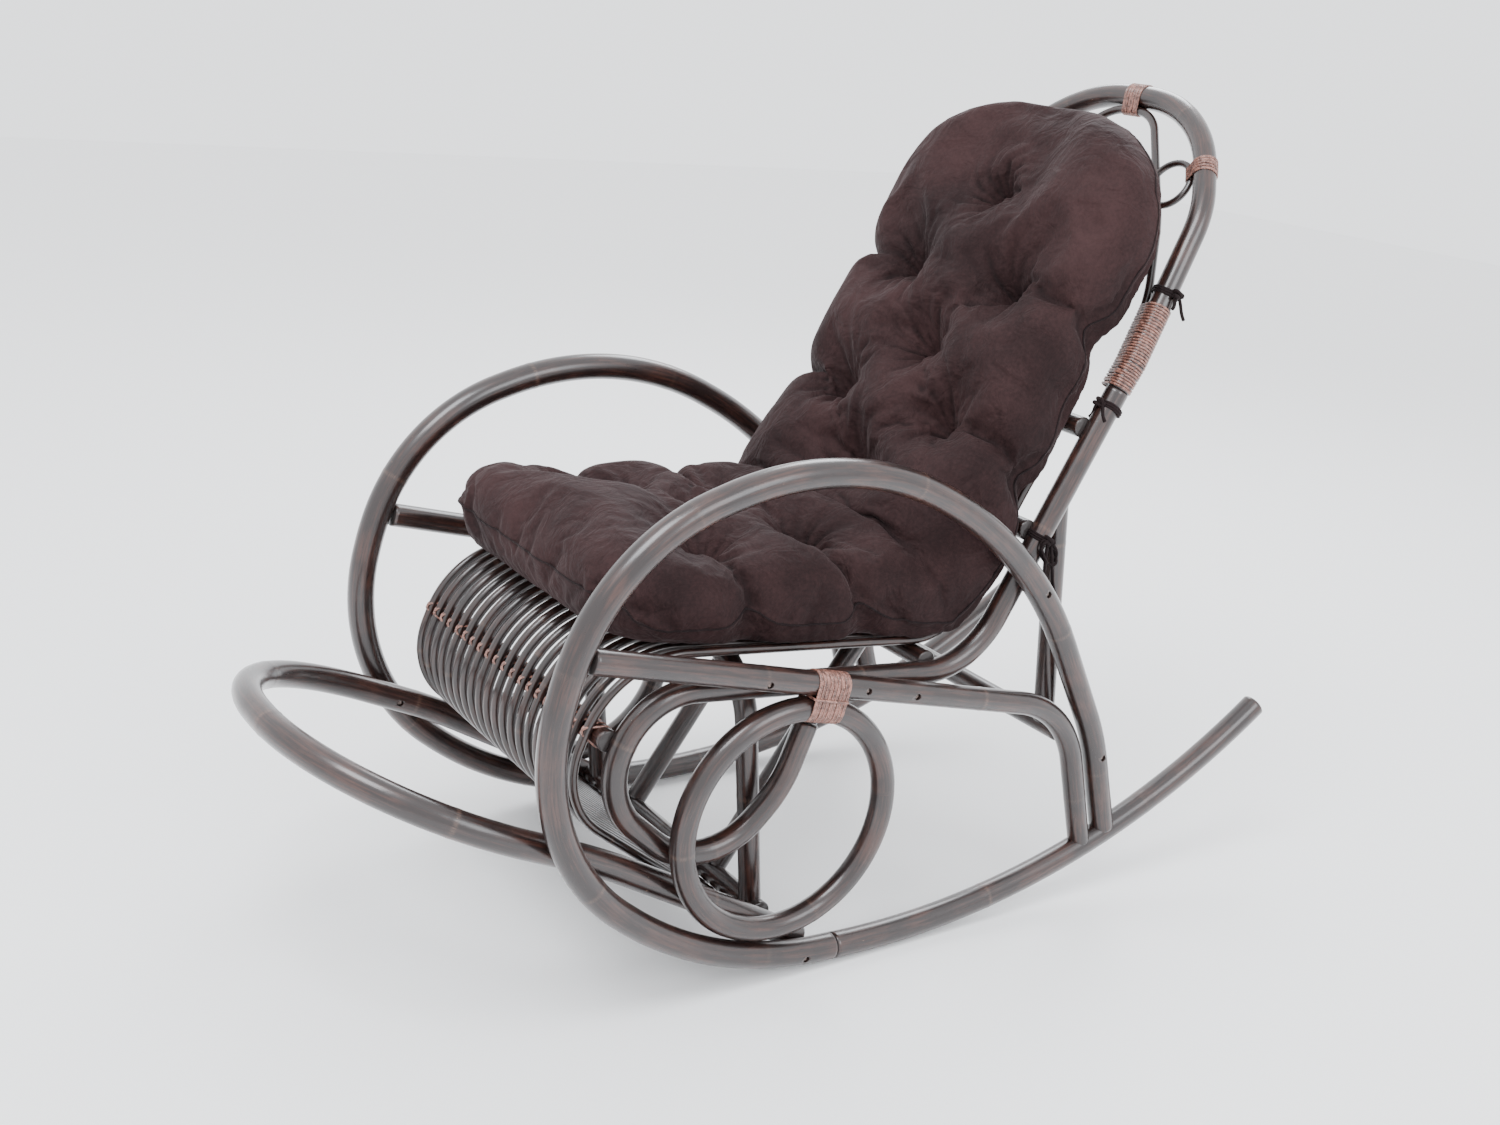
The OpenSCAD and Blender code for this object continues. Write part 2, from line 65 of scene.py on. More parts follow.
INNER_X = 235.8
SEAT_X = 237.8
ROCK_R = 1120.0
ROCK_AT = (122.0, 1137.0)
SCARF_Y = -72.0
ROCK_END_Y = 669.0
SPLICE = (372.0, 670.0)
SPLICE_DROP = 37.5
ARCH_LEAN = math.radians(37.5)
BOW_RISE = math.radians(31.0)
LIMB_RISE = math.radians(37.2)
CORNER = np.array([145.0, 345.0])
STEP = 5.0
LAY_GAP = 0.2
BACK_LEAN = math.radians(35.15)
SEAT_SLOPE = math.radians(11.6)
RAIL_FRONT = (-397.0, 513.0)
RAIL_KNEE = (292.0, 263.0)
RING_AT = (-153.0, 240.0)
RING_R = 143.0
LOW_BAR = (-160.0, 86.0)
REAR_BAR = (294.0, 221.0)
SEAT_BAR = (84.0, 371.0)
BAR_HALF = 231.8
BAR_LIFT = 16.0
ROLL_TOP = (-318.0, 440.0)
ROLL_FRONT = (-379.0, 325.0)
ROLL_R = 90.0
ROLL_BAR_ANGLE = math.radians(150)
ARCH_SHOULDER = (211.0, 214.0)
ARCH_TOP = (122.0, 356.0)
ARCH_R = 190.0
ARCH_TAPER = math.atan(26.8 / 214.0)
SMALL_R = 31.0
SMALL_ANGLE = math.radians(33)
CANES = 20
CANE_SPAN = 424.0
KNOT_SKEW = 0.7

Chain = Sequence[tuple[float, float, float]]


class Side(Enum):
    """The sitter's two sides."""

    LEFT = 1
    RIGHT = -1

    @property
    def word(self) -> str:
        """The word that ends a node's name."""
        return self.name.lower()


class Finish(Enum):
    """The record's material slots."""

    POLE = "pole_finish"
    CANE = "cane_finish"
    CORE = "lashing_core"
    STEEL = "screw_steel"
    CLOTH = "cushion_cloth"
    TIE = "tie_cloth"


# ---------------------------------------------------------------- shader expressions


class Graph:
    """A material's node tree with one method that adds nodes."""

    def __init__(self, name: str) -> None:
        """Start an empty material.

        Args:
            name: The material's name.
        """
        self.material = bpy.data.materials.new(name)
        self.material.use_nodes = True
        self.tree = self.material.node_tree
        self.tree.nodes.clear()

    def node(self, kind: str, settings: dict | None = None, out: int | str = 0,
             **sockets: object) -> "Socket":
        """Add a node.

        Args:
            kind: The node's type without the ShaderNode prefix.
            settings: Properties that are set before the sockets.
            out: Which output to return.
            **sockets: Socket values or links, by name with _ for a space, or i0, i1 by index.

        Returns:
            The wrapped output.
        """
        made = self.tree.nodes.new("ShaderNode" + kind)
        for key, value in (settings or {}).items():
            if key == "stops":
                self._stops(made, value)
            else:
                setattr(made, key, value)
        for key, value in sockets.items():
            by_index = key[0] == "i" and key[1:].isdigit()
            socket = made.inputs[int(key[1:]) if by_index else key.replace("_", " ")]
            if isinstance(value, Socket):
                self.tree.links.new(value.raw, socket)
            else:
                socket.default_value = value
        return Socket(self, made.outputs[out] if made.outputs else None)

    @staticmethod
    def _stops(made: bpy.types.Node, stops: Sequence[tuple[float, Sequence[float]]]) -> None:
        """Set a colour ramp's stops.

        Args:
            made: The ramp node.
            stops: Positions and colours.
        """
        ramp = made.color_ramp
        while len(ramp.elements) < len(stops):
            ramp.elements.new(0.5)
        for element, (at, colour) in zip(ramp.elements, stops):
            element.position = at
            element.color = (*colour, 1.0)


class Socket:
    """An output socket whose operators add Math nodes."""

    def __init__(self, graph: Graph, raw: bpy.types.NodeSocket | None) -> None:
        """Wrap a socket."""
        self.graph = graph
        self.raw = raw

    def _math(self, kind: str, a: object, b: object = 0.0) -> "Socket":
        """Add a Math node of two operands."""
        return self.graph.node("Math", {"operation": kind}, i0=a, i1=b)

    def __add__(self, other: object) -> "Socket":
        """Sum."""
        return self._math("ADD", self, other)

    __radd__ = __add__

    def __mul__(self, other: object) -> "Socket":
        """Product."""
        return self._math("MULTIPLY", self, other)

    __rmul__ = __mul__

    def __sub__(self, other: object) -> "Socket":
        """Difference."""
        return self._math("SUBTRACT", self, other)

    def __rsub__(self, other: object) -> "Socket":
        """Reflected difference."""
        return self._math("SUBTRACT", other, self)

    def power(self, exponent: float) -> "Socket":
        """Power."""
        return self._math("POWER", self, exponent)

    def ramp(self, low: float, high: float) -> "Socket":
        """Map low..high to 0..1, clamped and smooth."""
        return self.graph.node("MapRange", {"interpolation_type": "SMOOTHSTEP"}, i0=self, i1=low, i2=high)

    def mix(self, first: object, second: object) -> "Socket":
        """Mix two colours by this value."""
        return self.graph.node("Mix", {"data_type": "RGBA"}, 2, i0=self, i6=first, i7=second)


def rgba(colour: Sequence[float]) -> tuple[float, float, float, float]:
    """A colour with alpha 1."""
    return (colour[0], colour[1], colour[2], 1.0)


@dataclass(frozen=True)
class Lacquer:
    """Stained and lacquered rattan, with streaks along the pole, node rings and small nicks."""

    name: str
    dark: tuple[float, float, float]
    warm: tuple[float, float, float]
    nick: tuple[float, float, float] = (0.36, 0.21, 0.15)
    roughness: float = 0.3
    streaks: float = 0.35

    def build(self) -> bpy.types.Material:
        """Build the material.

        Returns:
            The material, which reads the attributes "grain" and "ring".
        """
        g = Graph(self.name)
        grain = g.node("Attribute", {"attribute_name": "grain"}, "Vector")
        ring = g.node("Attribute", {"attribute_name": "ring"}, "Fac")
        cut = g.node("Attribute", {"attribute_name": "cut"}, "Fac")
        along = g.node("VectorMath", {"operation": "MULTIPLY"}, i0=grain, i1=(1.0, 1.0, 0.06))
        streak = g.node("TexNoise", {}, 0, Vector=along, Scale=self.streaks, Detail=5.0, Roughness=0.62)
        broad = g.node("TexNoise", {}, 0, Vector=grain, Scale=0.018, Detail=3.0, Roughness=0.6)
        fine = g.node("TexNoise", {}, 0, Vector=along, Scale=self.streaks * 4.2, Detail=3.0, Roughness=0.6)
        short = g.node("VectorMath", {"operation": "MULTIPLY"}, i0=grain, i1=(1.0, 1.0, 0.45))
        nicks = g.node("TexNoise", {}, 0, Vector=short, Scale=0.23, Detail=4.0, Roughness=0.7)
        blush = (streak * 0.7 + broad * 0.45).ramp(0.50, 0.76)
        colour = blush.mix(rgba(self.dark), rgba(self.warm))
        worn = nicks.ramp(0.715, 0.76)
        colour = (worn * 0.8).mix(colour, rgba(self.nick))
        pale = ring.ramp(0.15, 0.9) * fine.ramp(0.35, 0.7)
        colour = (pale * 0.2).mix(colour, rgba(self.nick))
        colour = cut.mix(colour, (0.012, 0.007, 0.006, 1.0))
        rough = fine * 0.16 + (self.roughness - 0.08) + worn * 0.22 + cut * 0.4
        bump = g.node("Bump", {}, 0, Strength=0.22, Distance=0.0006,
                      Height=fine * 0.6 + streak * 0.8 - worn * 0.8 - ring * 0.6)
        g.node("OutputMaterial", Surface=g.node("BsdfPrincipled", i0=colour, Roughness=rough, Normal=bump,
                                                Coat_Weight=0.55, Coat_Roughness=0.16, IOR=1.5))
        return g.material


@dataclass(frozen=True)
class Core:
    """Glossy split rattan core, coppery, with painted glints on pale fibres and dark gaps."""

    name: str = "core"
    dark: tuple[float, float, float] = (0.045, 0.016, 0.012)
    light: tuple[float, float, float] = (0.34, 0.155, 0.115)

    def build(self) -> bpy.types.Material:
        """Build the material."""
        g = Graph(self.name)
        place = g.node("TexCoord", {}, "Object")
        blotch = g.node("TexNoise", {}, 0, Vector=place, Scale=190.0, Detail=4.0, Roughness=0.7)
        speck = g.node("TexNoise", {}, 0, Vector=place, Scale=620.0, Detail=3.0, Roughness=0.7)
        tone = (blotch * 0.65 + speck * 0.45).ramp(0.40, 0.68)
        colour = tone.mix(rgba(self.dark), rgba(self.light))
        # painted highlight: a speck mask mixes near-white glints into the colour
        painted_glint = speck.ramp(0.62, 0.74)
        colour = (painted_glint * 0.7).mix(colour, (0.85, 0.66, 0.58, 1.0))
        bump = g.node("Bump", {}, 0, Strength=0.35, Distance=0.0005, Height=blotch + speck * 0.6)
        g.node("OutputMaterial", Surface=g.node("BsdfPrincipled", i0=colour, Roughness=0.42 - painted_glint * 0.15,
                                                Normal=bump, Coat_Weight=0.35, Coat_Roughness=0.2))
        return g.material


@dataclass(frozen=True)
class Steel:
    """Dull darkened screw steel."""

    name: str = "screw"
    colour: tuple[float, float, float] = (0.16, 0.12, 0.11)

    def build(self) -> bpy.types.Material:
        """Build the material."""
        g = Graph(self.name)
        place = g.node("TexCoord", {}, "Object")
        worn = g.node("TexNoise", {}, 0, Vector=place, Scale=500.0, Detail=4.0, Roughness=0.6)
        colour = worn.ramp(0.35, 0.75).mix(rgba(self.colour), (0.34, 0.27, 0.24, 1.0))
        g.node("OutputMaterial", Surface=g.node("BsdfPrincipled", i0=colour, Metallic=0.9,
                                                Roughness=worn * 0.3 + 0.28))
        return g.material


@dataclass(frozen=True)
class Cloth:
    """Closely woven cotton with a soft sheen, and painted shade darkening the folds."""

    name: str
    deep: tuple[float, float, float]
    faded: tuple[float, float, float]
    thread: float = 1500.0

    def build(self) -> bpy.types.Material:
        """Build the material, which reads the attribute "fold" for the depth of the folds and darkens the colour
        there as painted shade.
        """
        g = Graph(self.name)
        place = g.node("TexCoord", {}, "Object")
        fold = g.node("Attribute", {"attribute_name": "fold"}, "Fac")
        cloud = g.node("TexNoise", {}, 0, Vector=place, Scale=7.0, Detail=5.0, Roughness=0.6)
        slub = g.node("TexNoise", {}, 0, Vector=place, Scale=240.0, Detail=4.0, Roughness=0.65)
        warp = g.node("TexWave", {"wave_type": "BANDS", "bands_direction": "X"}, 1, Vector=place,
                      Scale=self.thread / 6.283, Distortion=0.6, Detail=1.0)
        weft = g.node("TexWave", {"wave_type": "BANDS", "bands_direction": "Z"}, 1, Vector=place,
                      Scale=self.thread / 6.283, Distortion=0.6, Detail=1.0)
        tone = (cloud * 0.8 + slub * 0.35).ramp(0.38, 0.82) * 0.85 + warp * weft * 0.12
        colour = tone.mix(rgba(self.deep), rgba(self.faded))
        # painted shade: the colour darkens where the fold attribute marks a crease
        colour = fold.mix(colour, (self.deep[0] * 0.45, self.deep[1] * 0.42, self.deep[2] * 0.42, 1.0))
        crease = g.node("TexNoise", {}, 0, Vector=place, Scale=24.0, Detail=4.0, Roughness=0.5,
                        Distortion=1.6)
        folds = g.node("Bump", {}, 0, Strength=0.55, Distance=0.012, Height=crease)
        bump = g.node("Bump", {}, 0, Strength=0.25, Distance=0.0004,
                      Height=slub * 0.6 + warp * 0.25 + weft * 0.25, Normal=folds)
        g.node("OutputMaterial", Surface=g.node("BsdfPrincipled", i0=colour, Roughness=0.78, Normal=bump,
                                                Sheen_Weight=0.05, Sheen_Roughness=0.4,
                                                Sheen_Tint=(0.75, 0.6, 0.6, 1.0),
                                                Specular_IOR_Level=0.14))
        return g.material


@dataclass(frozen=True)
class Plain:
    """A plain matt studio surface."""

    name: str
    colour: tuple[float, float, float]

    def build(self) -> bpy.types.Material:
        """Build the material."""
        g = Graph(self.name)
        g.node("OutputMaterial", Surface=g.node("BsdfPrincipled", i0=rgba(self.colour), Roughness=0.9))
        return g.material


class Finishes:
    """Builds each finish once."""

    def __init__(self) -> None:
        """Build every finish."""
        self.pole = Lacquer("pole_lacquer", (0.0125, 0.0065, 0.0058), (0.052, 0.0205, 0.0150)).build()
        self.cane = Lacquer("cane_lacquer", (0.010, 0.0052, 0.0045), (0.045, 0.017, 0.0125),
                            streaks=0.7).build()
        self.core = Core().build()
        self.steel = Steel().build()
        self.cloth = Cloth("cushion_cotton", (0.0105, 0.0042, 0.0044), (0.040, 0.0185, 0.0185)).build()
        self.tie = Cloth("tie_cotton", (0.006, 0.003, 0.0034), (0.015, 0.008, 0.008)).build()


# ---------------------------------------------------------------- paths and sweeps


def unit(v: np.ndarray) -> np.ndarray:
    """A vector of length 1."""
    return v / np.linalg.norm(v)


def rounded(chain: Chain, step: float = STEP) -> np.ndarray:
    """Sample a chain of corners whose third number is the bend radius.

    Args:
        chain: Corners as (u, v, radius).
        step: Spacing of the samples along straights; bends are sampled by angle too.

    Returns:
        Points (n, 2) along the centre line.
    """
    corners = [np.array(c[:2], float) for c in chain]
    out = [corners[0]]
    for i in range(1, len(chain) - 1):
        a, b, c = corners[i - 1], corners[i], corners[i + 1]
        into, away = unit(b - a), unit(c - b)
        turn = math.acos(max(-1.0, min(1.0, float(into @ away))))
        radius = chain[i][2]
        centre = b + unit(away - into) * radius / math.cos(turn / 2)
        start = b - into * radius * math.tan(turn / 2)
        sign = math.copysign(1.0, into[0] * away[1] - into[1] * away[0])
        spokes = max(3, int(radius * turn / step))
        arm = start - centre
        for k in range(spokes + 1):
            t = sign * turn * k / spokes
            out.append(centre + np.array([arm[0] * math.cos(t) - arm[1] * math.sin(t),
                                          arm[0] * math.sin(t) + arm[1] * math.cos(t)]))
    out.append(corners[-1])
    return resample(np.array(out), step)


def resample(points: np.ndarray, step: float) -> np.ndarray:
    """Space points evenly along a polyline.

    Args:
        points: Points (n, 2) or (n, 3).
        step: The wanted spacing.

    Returns:
        Evenly spaced points.
    """
    lengths = np.r_[0, np.cumsum(np.linalg.norm(np.diff(points, axis=0), axis=1))]
    count = max(2, int(round(lengths[-1] / step)) + 1)
    at = np.linspace(0, lengths[-1], count)
    return np.stack([np.interp(at, lengths, points[:, k]) for k in range(points.shape[1])], axis=1)


def mirrored(half: Chain) -> list[tuple[float, float, float]]:
    """A half chain followed by its mirror image."""
    return list(half) + [(-u, v, r) for u, v, r in reversed(half)]


def in_side(points: np.ndarray, x: float) -> np.ndarray:
    """Put (y, z) points in the plane at x."""
    return np.column_stack([np.full(len(points), x), points[:, 0] + MIDDLE_Y, points[:, 1]])


def in_arch(points: np.ndarray) -> np.ndarray:
    """Put (x, s) points in the leaning plane of the back arch."""
    foot = np.array([0.0, SPLICE[0] + SPLICE_DROP * math.sin(ARCH_LEAN) + MIDDLE_Y,
                     SPLICE[1] + SPLICE_DROP * math.cos(ARCH_LEAN)])
    up = np.array([0.0, math.sin(ARCH_LEAN), math.cos(ARCH_LEAN)])
    return foot + np.outer(points[:, 0], [1.0, 0.0, 0.0]) + np.outer(points[:, 1], up)


@dataclass
class Pole:
    """A bent rattan pole swept along its centre line, with slight wobble, node rings and bevelled ends.

    Attributes:
        name: The piece's name.
        line: Centre line (n, 3) in millimetres.
        diameter: Thickness in millimetres.
        seed: Picks the node rings and the wobble.
        closed: True for a ring.
        spokes: Faces round the pole.
        nodes_apart: Mean distance between node rings.
    """

    name: str
    line: np.ndarray
    diameter: float
    seed: int = 1
    closed: bool = False
    spokes: int = 24
    nodes_apart: float = 290.0

    def build(self, material: bpy.types.Material) -> bpy.types.Object:
        """Sweep the pole.

        Args:
            material: Its finish.

        Returns:
            The object, at the origin with its place in its mesh.
        """
        line = self.line[:-1] if self.closed else self.line
        count = len(line)
        rng = np.random.default_rng(self.seed)
        back, ahead = (np.roll(line, 1, 0), np.roll(line, -1, 0)) if self.closed else (
            np.vstack([line[:1], line[:-1]]), np.vstack([line[1:], line[-1:]]))
        tangents = np.array([unit(t) for t in ahead - back])
        sideways = self._sideways(tangents)
        lengths = np.r_[0, np.cumsum(np.linalg.norm(np.diff(line, axis=0), axis=1))]
        ring = np.zeros(count)
        at = rng.uniform(0.3, 0.9) * self.nodes_apart
        while at < lengths[-1] - 30:
            ring = np.maximum(ring, np.exp(-((lengths - at) / 2.6) ** 2))
            at += rng.uniform(0.7, 1.3) * self.nodes_apart
        wobble = 0.0 if self.closed else 0.006
        radius = self.diameter / 2 * (1 + wobble * np.sin(lengths / 83 + self.seed))
        radius = radius + 0.35 * ring
        angles = np.arange(self.spokes) * 2 * math.pi / self.spokes
        verts, grain, rings, cut = [], [], [], []
        stations = [(i, 1.0, 0.0, 0.0) for i in range(count)]
        if not self.closed:
            bevel = min(1.6, self.diameter * 0.06)
            narrow = 1 - bevel * 2 / self.diameter
            stations = [(0, narrow, 0.0, 1.0), (0, 1.0, bevel, 0.0), *stations[1:-1],
                        (count - 1, 1.0, -bevel, 0.0), (count - 1, narrow, 0.0, 1.0)]
        for i, shrink, slip, dark in stations:
            other = np.cross(tangents[i], sideways[i])
            r = radius[i] * shrink
            centre = line[i] + tangents[i] * slip
            for a in angles:
                verts.append(centre + r * (math.cos(a) * sideways[i] + math.sin(a) * other))
                grain.append((r * math.cos(a), r * math.sin(a), lengths[i] + self.seed * 977.0))
                rings.append(ring[i])
                cut.append(dark)
        faces = []
        rows = len(stations)
        for i in range(rows if self.closed else rows - 1):
            for k in range(self.spokes):
                a, b = i * self.spokes + k, i * self.spokes + (k + 1) % self.spokes
                after = ((i + 1) % rows) * self.spokes
                c, d = after + (k + 1) % self.spokes, after + k
                faces.append((a, b, c, d))
        if not self.closed:
            for row, order in ((0, -1), (rows - 1, 1)):
                verts.append(line[0] if row == 0 else line[-1])
                grain.append((0.0, 0.0, lengths[0 if row == 0 else -1]))
                rings.append(0.0)
                cut.append(1.0)
                hub = len(verts) - 1
                for k in range(self.spokes):
                    edge = (row * self.spokes + k, row * self.spokes + (k + 1) % self.spokes)
                    faces.append((edge[0], edge[1], hub) if order > 0 else (edge[1], edge[0], hub))
        mesh = bpy.data.meshes.new(self.name)
        mesh.from_pydata([tuple(v * MM) for v in verts], [], faces)
        store(mesh, "grain", "FLOAT_VECTOR", grain)
        store(mesh, "ring", "FLOAT", rings)
        store(mesh, "cut", "FLOAT", cut)
        return as_object(self.name, mesh, material)

    def _sideways(self, tangents: np.ndarray) -> np.ndarray:
        """A direction across the pole at each station, turned as little as possible from one to the next."""
        first = np.cross(tangents[0], [0.13, 0.21, 0.97] if abs(tangents[0][2]) < 0.9 else [1.0, 0.1, 0.0])
        across = [unit(first)]
        for t in tangents[1:]:
            v = across[-1] - t * float(across[-1] @ t)
            across.append(unit(v))
        return np.array(across)


def store(mesh: bpy.types.Mesh, name: str, kind: str, values: Iterable) -> None:
    """Store a point attribute.

    Args:
        mesh: The mesh.
        name: The attribute's name.
        kind: FLOAT or FLOAT_VECTOR.
        values: One value a vertex.
    """
    layer = mesh.attributes.new(name, kind, "POINT")
    field_name = "vector" if kind == "FLOAT_VECTOR" else "value"
    layer.data.foreach_set(field_name, np.asarray(values, np.float32).ravel())


def as_object(name: str, mesh: bpy.types.Mesh, material: bpy.types.Material) -> bpy.types.Object:
    """Make a smooth-shaded object of a mesh.

    Args:
        name: Its name.
        mesh: Its mesh.
        material: Its finish.

    Returns:
        The object, linked to the scene.
    """
    mesh.materials.clear()
    mesh.materials.append(material)
    mesh.validate()
    for polygon in mesh.polygons:
        polygon.use_smooth = True
    made = bpy.data.objects.new(name, mesh)
    bpy.context.scene.collection.objects.link(made)
    return made


def outward(mesh: bpy.types.Mesh) -> None:
    """Turn a mesh's faces outwards."""
    work = bmesh.new()
    work.from_mesh(mesh)
    bmesh.ops.recalc_face_normals(work, faces=work.faces)
    work.to_mesh(mesh)
    work.free()


def balance() -> Matrix:
    """The forward tip about the middle of the rockers' bend at which the empty chair balances."""
    hub = Vector((0.0, ROCK_AT[0] + MIDDLE_Y, ROCK_AT[1])) * MM
    return Matrix.Translation(hub) @ Matrix.Rotation(BALANCE_TIP, 4, "X") @ Matrix.Translation(-hub)


def settle(piece: bpy.types.Object, finish: Finish, *nodes: str) -> None:
    """Tip a finished piece with the chair and hand it to the frame.

    Args:
        piece: The piece.
        finish: Its material slot; not used.
        *nodes: The CAD nodes that it stands for.
    """
    piece.data.transform(balance())
    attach(piece, "root")
    if nodes:
        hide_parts(*nodes)
    LOG.info("%s: %d faces, stands for %s", piece.name, len(piece.data.polygons),
             ", ".join(nodes) or "nothing")


# ---------------------------------------------------------------- the frame of poles


@dataclass(frozen=True)
class Made:
    """A built pole that waits to be drilled and handed over.

    Attributes:
        piece: The pole.
        finish: Its material slot.
        node: The CAD node that it stands for.
    """

    piece: bpy.types.Object
    finish: Finish
    node: str


@dataclass
class PoleFrame:
    """All the bent and straight poles.

    Attributes:
        arm: Corners of an arm loop.
        rail: Corners of a seat rail and rear leg.
        seat: Corners of a seat pole with its scroll.
        arch: Half the corners of the back arch.
        inner: Half the corners of the inner arch.
        limb_at: Where a limb of the front rocker starts.
        limb_len: Length of a limb up to its bend.
        limb_r: Radius of that bend.
        strut_x: Half the distance between the struts.
        post_x: Half the distance between the rear posts.
        post_z: Lower and upper end of a rear post.
        hoop: Half the corners of the front hoop.
        made: The poles built so far.
    """

    rail: Chain = ((*RAIL_FRONT, 0), (*RAIL_KNEE, 150), (334, 43, 0))
    seat: Chain = ((*SPLICE, 0), (145, 345, 117), (*ROLL_TOP, ROLL_R), (*ROLL_FRONT, ROLL_R), (-253, 176, 100),
                   (-139, 266, 150), (-101, 343, 0))
    arch: Chain = ((SEAT_X, -SPLICE_DROP, 0), (SEAT_X, 0, 250), (*ARCH_SHOULDER, 155), (*ARCH_TOP, ARCH_R))
    inner: Chain = ((217.1, -35.5, 0), (217.1, 0, 200), (207.1, 80, 200), (150, 188, 300), (40, 335.3, 60))
    limb_at: tuple[float, float] = (-117.0, 44.0)
    limb_len: float = 336.0
    limb_r: float = 800.0
    strut_x: float = 105.0
    post_x: float = 226.0
    post_z: tuple[float, float] = (226.0, 545.0)
    hoop: Chain = ((197, 92, 0), (197, 421.9, 80))
    made: list[Made] = field(default_factory=list)

    @property
    def scarf_slope(self) -> float:
        """Slope angle of the rocker at the scarf."""
        return math.asin((SCARF_Y - ROCK_AT[0]) / ROCK_R)

    @property
    def scarf(self) -> np.ndarray:
        """Where the rocker's bend starts."""
        return np.array([SCARF_Y, ROCK_AT[1] - ROCK_R * math.cos(self.scarf_slope)])

    @property
    def arm(self) -> Chain:
        """Corners of an arm loop, from its foot to the scarf."""
        toe_z = float(self.scarf[1] + math.tan(self.scarf_slope) * (-259 - SCARF_Y))
        return ((376, 52, 0), (345, 204, 400), (216, 500, 550), (-62, 687, 395), (-364, 629, 258),
                (-427, 492, 310), (-494, 312, 272), (-259, toe_z, 480), (SCARF_Y - 15, float(
                    self.scarf[1]) - 15 * math.tan(self.scarf_slope), 0))

    def rocker_line(self) -> np.ndarray:
        """Centre line of a rear rocker, from the scarf back."""
        end = math.asin((ROCK_END_Y - ROCK_AT[0]) / ROCK_R)
        angles = np.linspace(self.scarf_slope, end, 170)
        arc = np.column_stack([ROCK_AT[0] + ROCK_R * np.sin(angles), ROCK_AT[1] - ROCK_R * np.cos(angles)])
        tip = self.scarf - np.array([math.cos(self.scarf_slope), math.sin(self.scarf_slope)]) * 14.6
        return resample(np.vstack([tip, arc]), STEP)

    def front_line(self) -> np.ndarray:
        """Centre line of the front rocker, limb, bow and limb."""
        end = np.array([self.limb_at[0] - self.limb_len * math.cos(LIMB_RISE),
                        self.limb_at[1] + self.limb_len * math.sin(LIMB_RISE)])
        reach = self.limb_r * math.tan((LIMB_RISE - BOW_RISE) / 2)
        ahead = np.array([-math.cos(BOW_RISE), math.sin(BOW_RISE)])
        limb = rounded([(*self.limb_at, 0), (*end, self.limb_r), (*(end + ahead * (reach + 1)), 0)])
        bow = rounded(mirrored([(INNER_X, reach + 2, 0), (INNER_X, 116, 208), (203, 331, 227)]))
        bow3 = np.column_stack([bow[:, 0], end[0] + ahead[0] * bow[:, 1] + MIDDLE_Y,
                                end[1] + ahead[1] * bow[:, 1]])
        line = np.vstack([in_side(limb, INNER_X), bow3, in_side(limb, -INNER_X)[::-1]])
        return resample(line, STEP)

    def build(self, finishes: Finishes) -> None:
        """Build every pole.

        Args:
            finishes: The finishes.
        """
        for side in Side:
            x = side.value * SIDE_X
            inner = side.value * SEAT_X
            word = side.word
            self._add(f"arm_loop_{word}", in_side(rounded(self.arm), x), FRAME_D, finishes.pole)
            self._add(f"rear_rocker_{word}", in_side(self.rocker_line(), x), FRAME_D, finishes.pole)
            self._add(f"seat_rail_{word}", in_side(rounded(self.rail), x), POLE_D, finishes.pole)
            angles = np.linspace(0, 2 * math.pi, 181)
            circle = np.column_stack([RING_AT[0] + RING_R * np.cos(angles), RING_AT[1] + RING_R * np.sin(angles)])
            self._add(f"side_ring_{word}", in_side(circle, x), POLE_D, finishes.pole, closed=True)
            self._add(f"seat_pole_{word}", in_side(rounded(self.seat), inner), POLE_D, finishes.pole)
            self._ring(side, finishes.cane)
            self._strut_and_post(side, finishes.pole)
        self._add("front_rocker", self.front_line(), FRAME_D, finishes.pole)
        self._add("back_arch", in_arch(rounded(mirrored(self.arch))), POLE_D, finishes.pole)
        self._add("inner_arch", in_arch(rounded(mirrored(self.inner), 3.0)), CANE_D, finishes.cane, spokes=14)
        self._hoop(finishes.pole)
        for name, y, z, half, d in (("low_cross_bar", *LOW_BAR, 221.0, POST_D),
                                    ("rear_cross_bar", *REAR_BAR, 257.0, POST_D),
                                    ("roll_bar", *roll_bar_at(), BAR_HALF, BAR_D),
                                    ("seat_bar", *SEAT_BAR, BAR_HALF, BAR_D),
                                    ("back_bar_low", *on_back(190, BAR_LIFT), BAR_HALF, BAR_D),
                                    ("back_bar_high", *on_back(335, BAR_LIFT), BAR_HALF, BAR_D)):
            ends = np.array([[-half, y + MIDDLE_Y, z], [half, y + MIDDLE_Y, z]])
            self._add(name, resample(ends, STEP), d, finishes.pole)

    def _add(self, name: str, line: np.ndarray, diameter: float, material: bpy.types.Material,
             closed: bool = False, spokes: int = 24) -> None:
        """Build one pole that stands for the node of the same name."""
        seed = 3 + len(self.made)
        piece = Pole(name + "_rattan", line, diameter, seed, closed, spokes).build(material)
        self.made.append(Made(piece, Finish.CANE if diameter < BAR_D else Finish.POLE, name))

    def hand_over(self) -> None:
        """Settle every pole once it has been drilled."""
        for made in self.made:
            settle(made.piece, made.finish, made.node)

    def _ring(self, side: Side, material: bpy.types.Material) -> None:
        """Build the small ring of one side."""
        at = small_ring_at()
        angles = np.linspace(0, 2 * math.pi, 97)
        circle = np.column_stack([side.value * at[0] + SMALL_R * np.cos(angles), at[1] + SMALL_R * np.sin(angles)])
        self._add(f"small_ring_{side.word}", in_arch(circle), RING_CANE_D, material, closed=True, spokes=16)

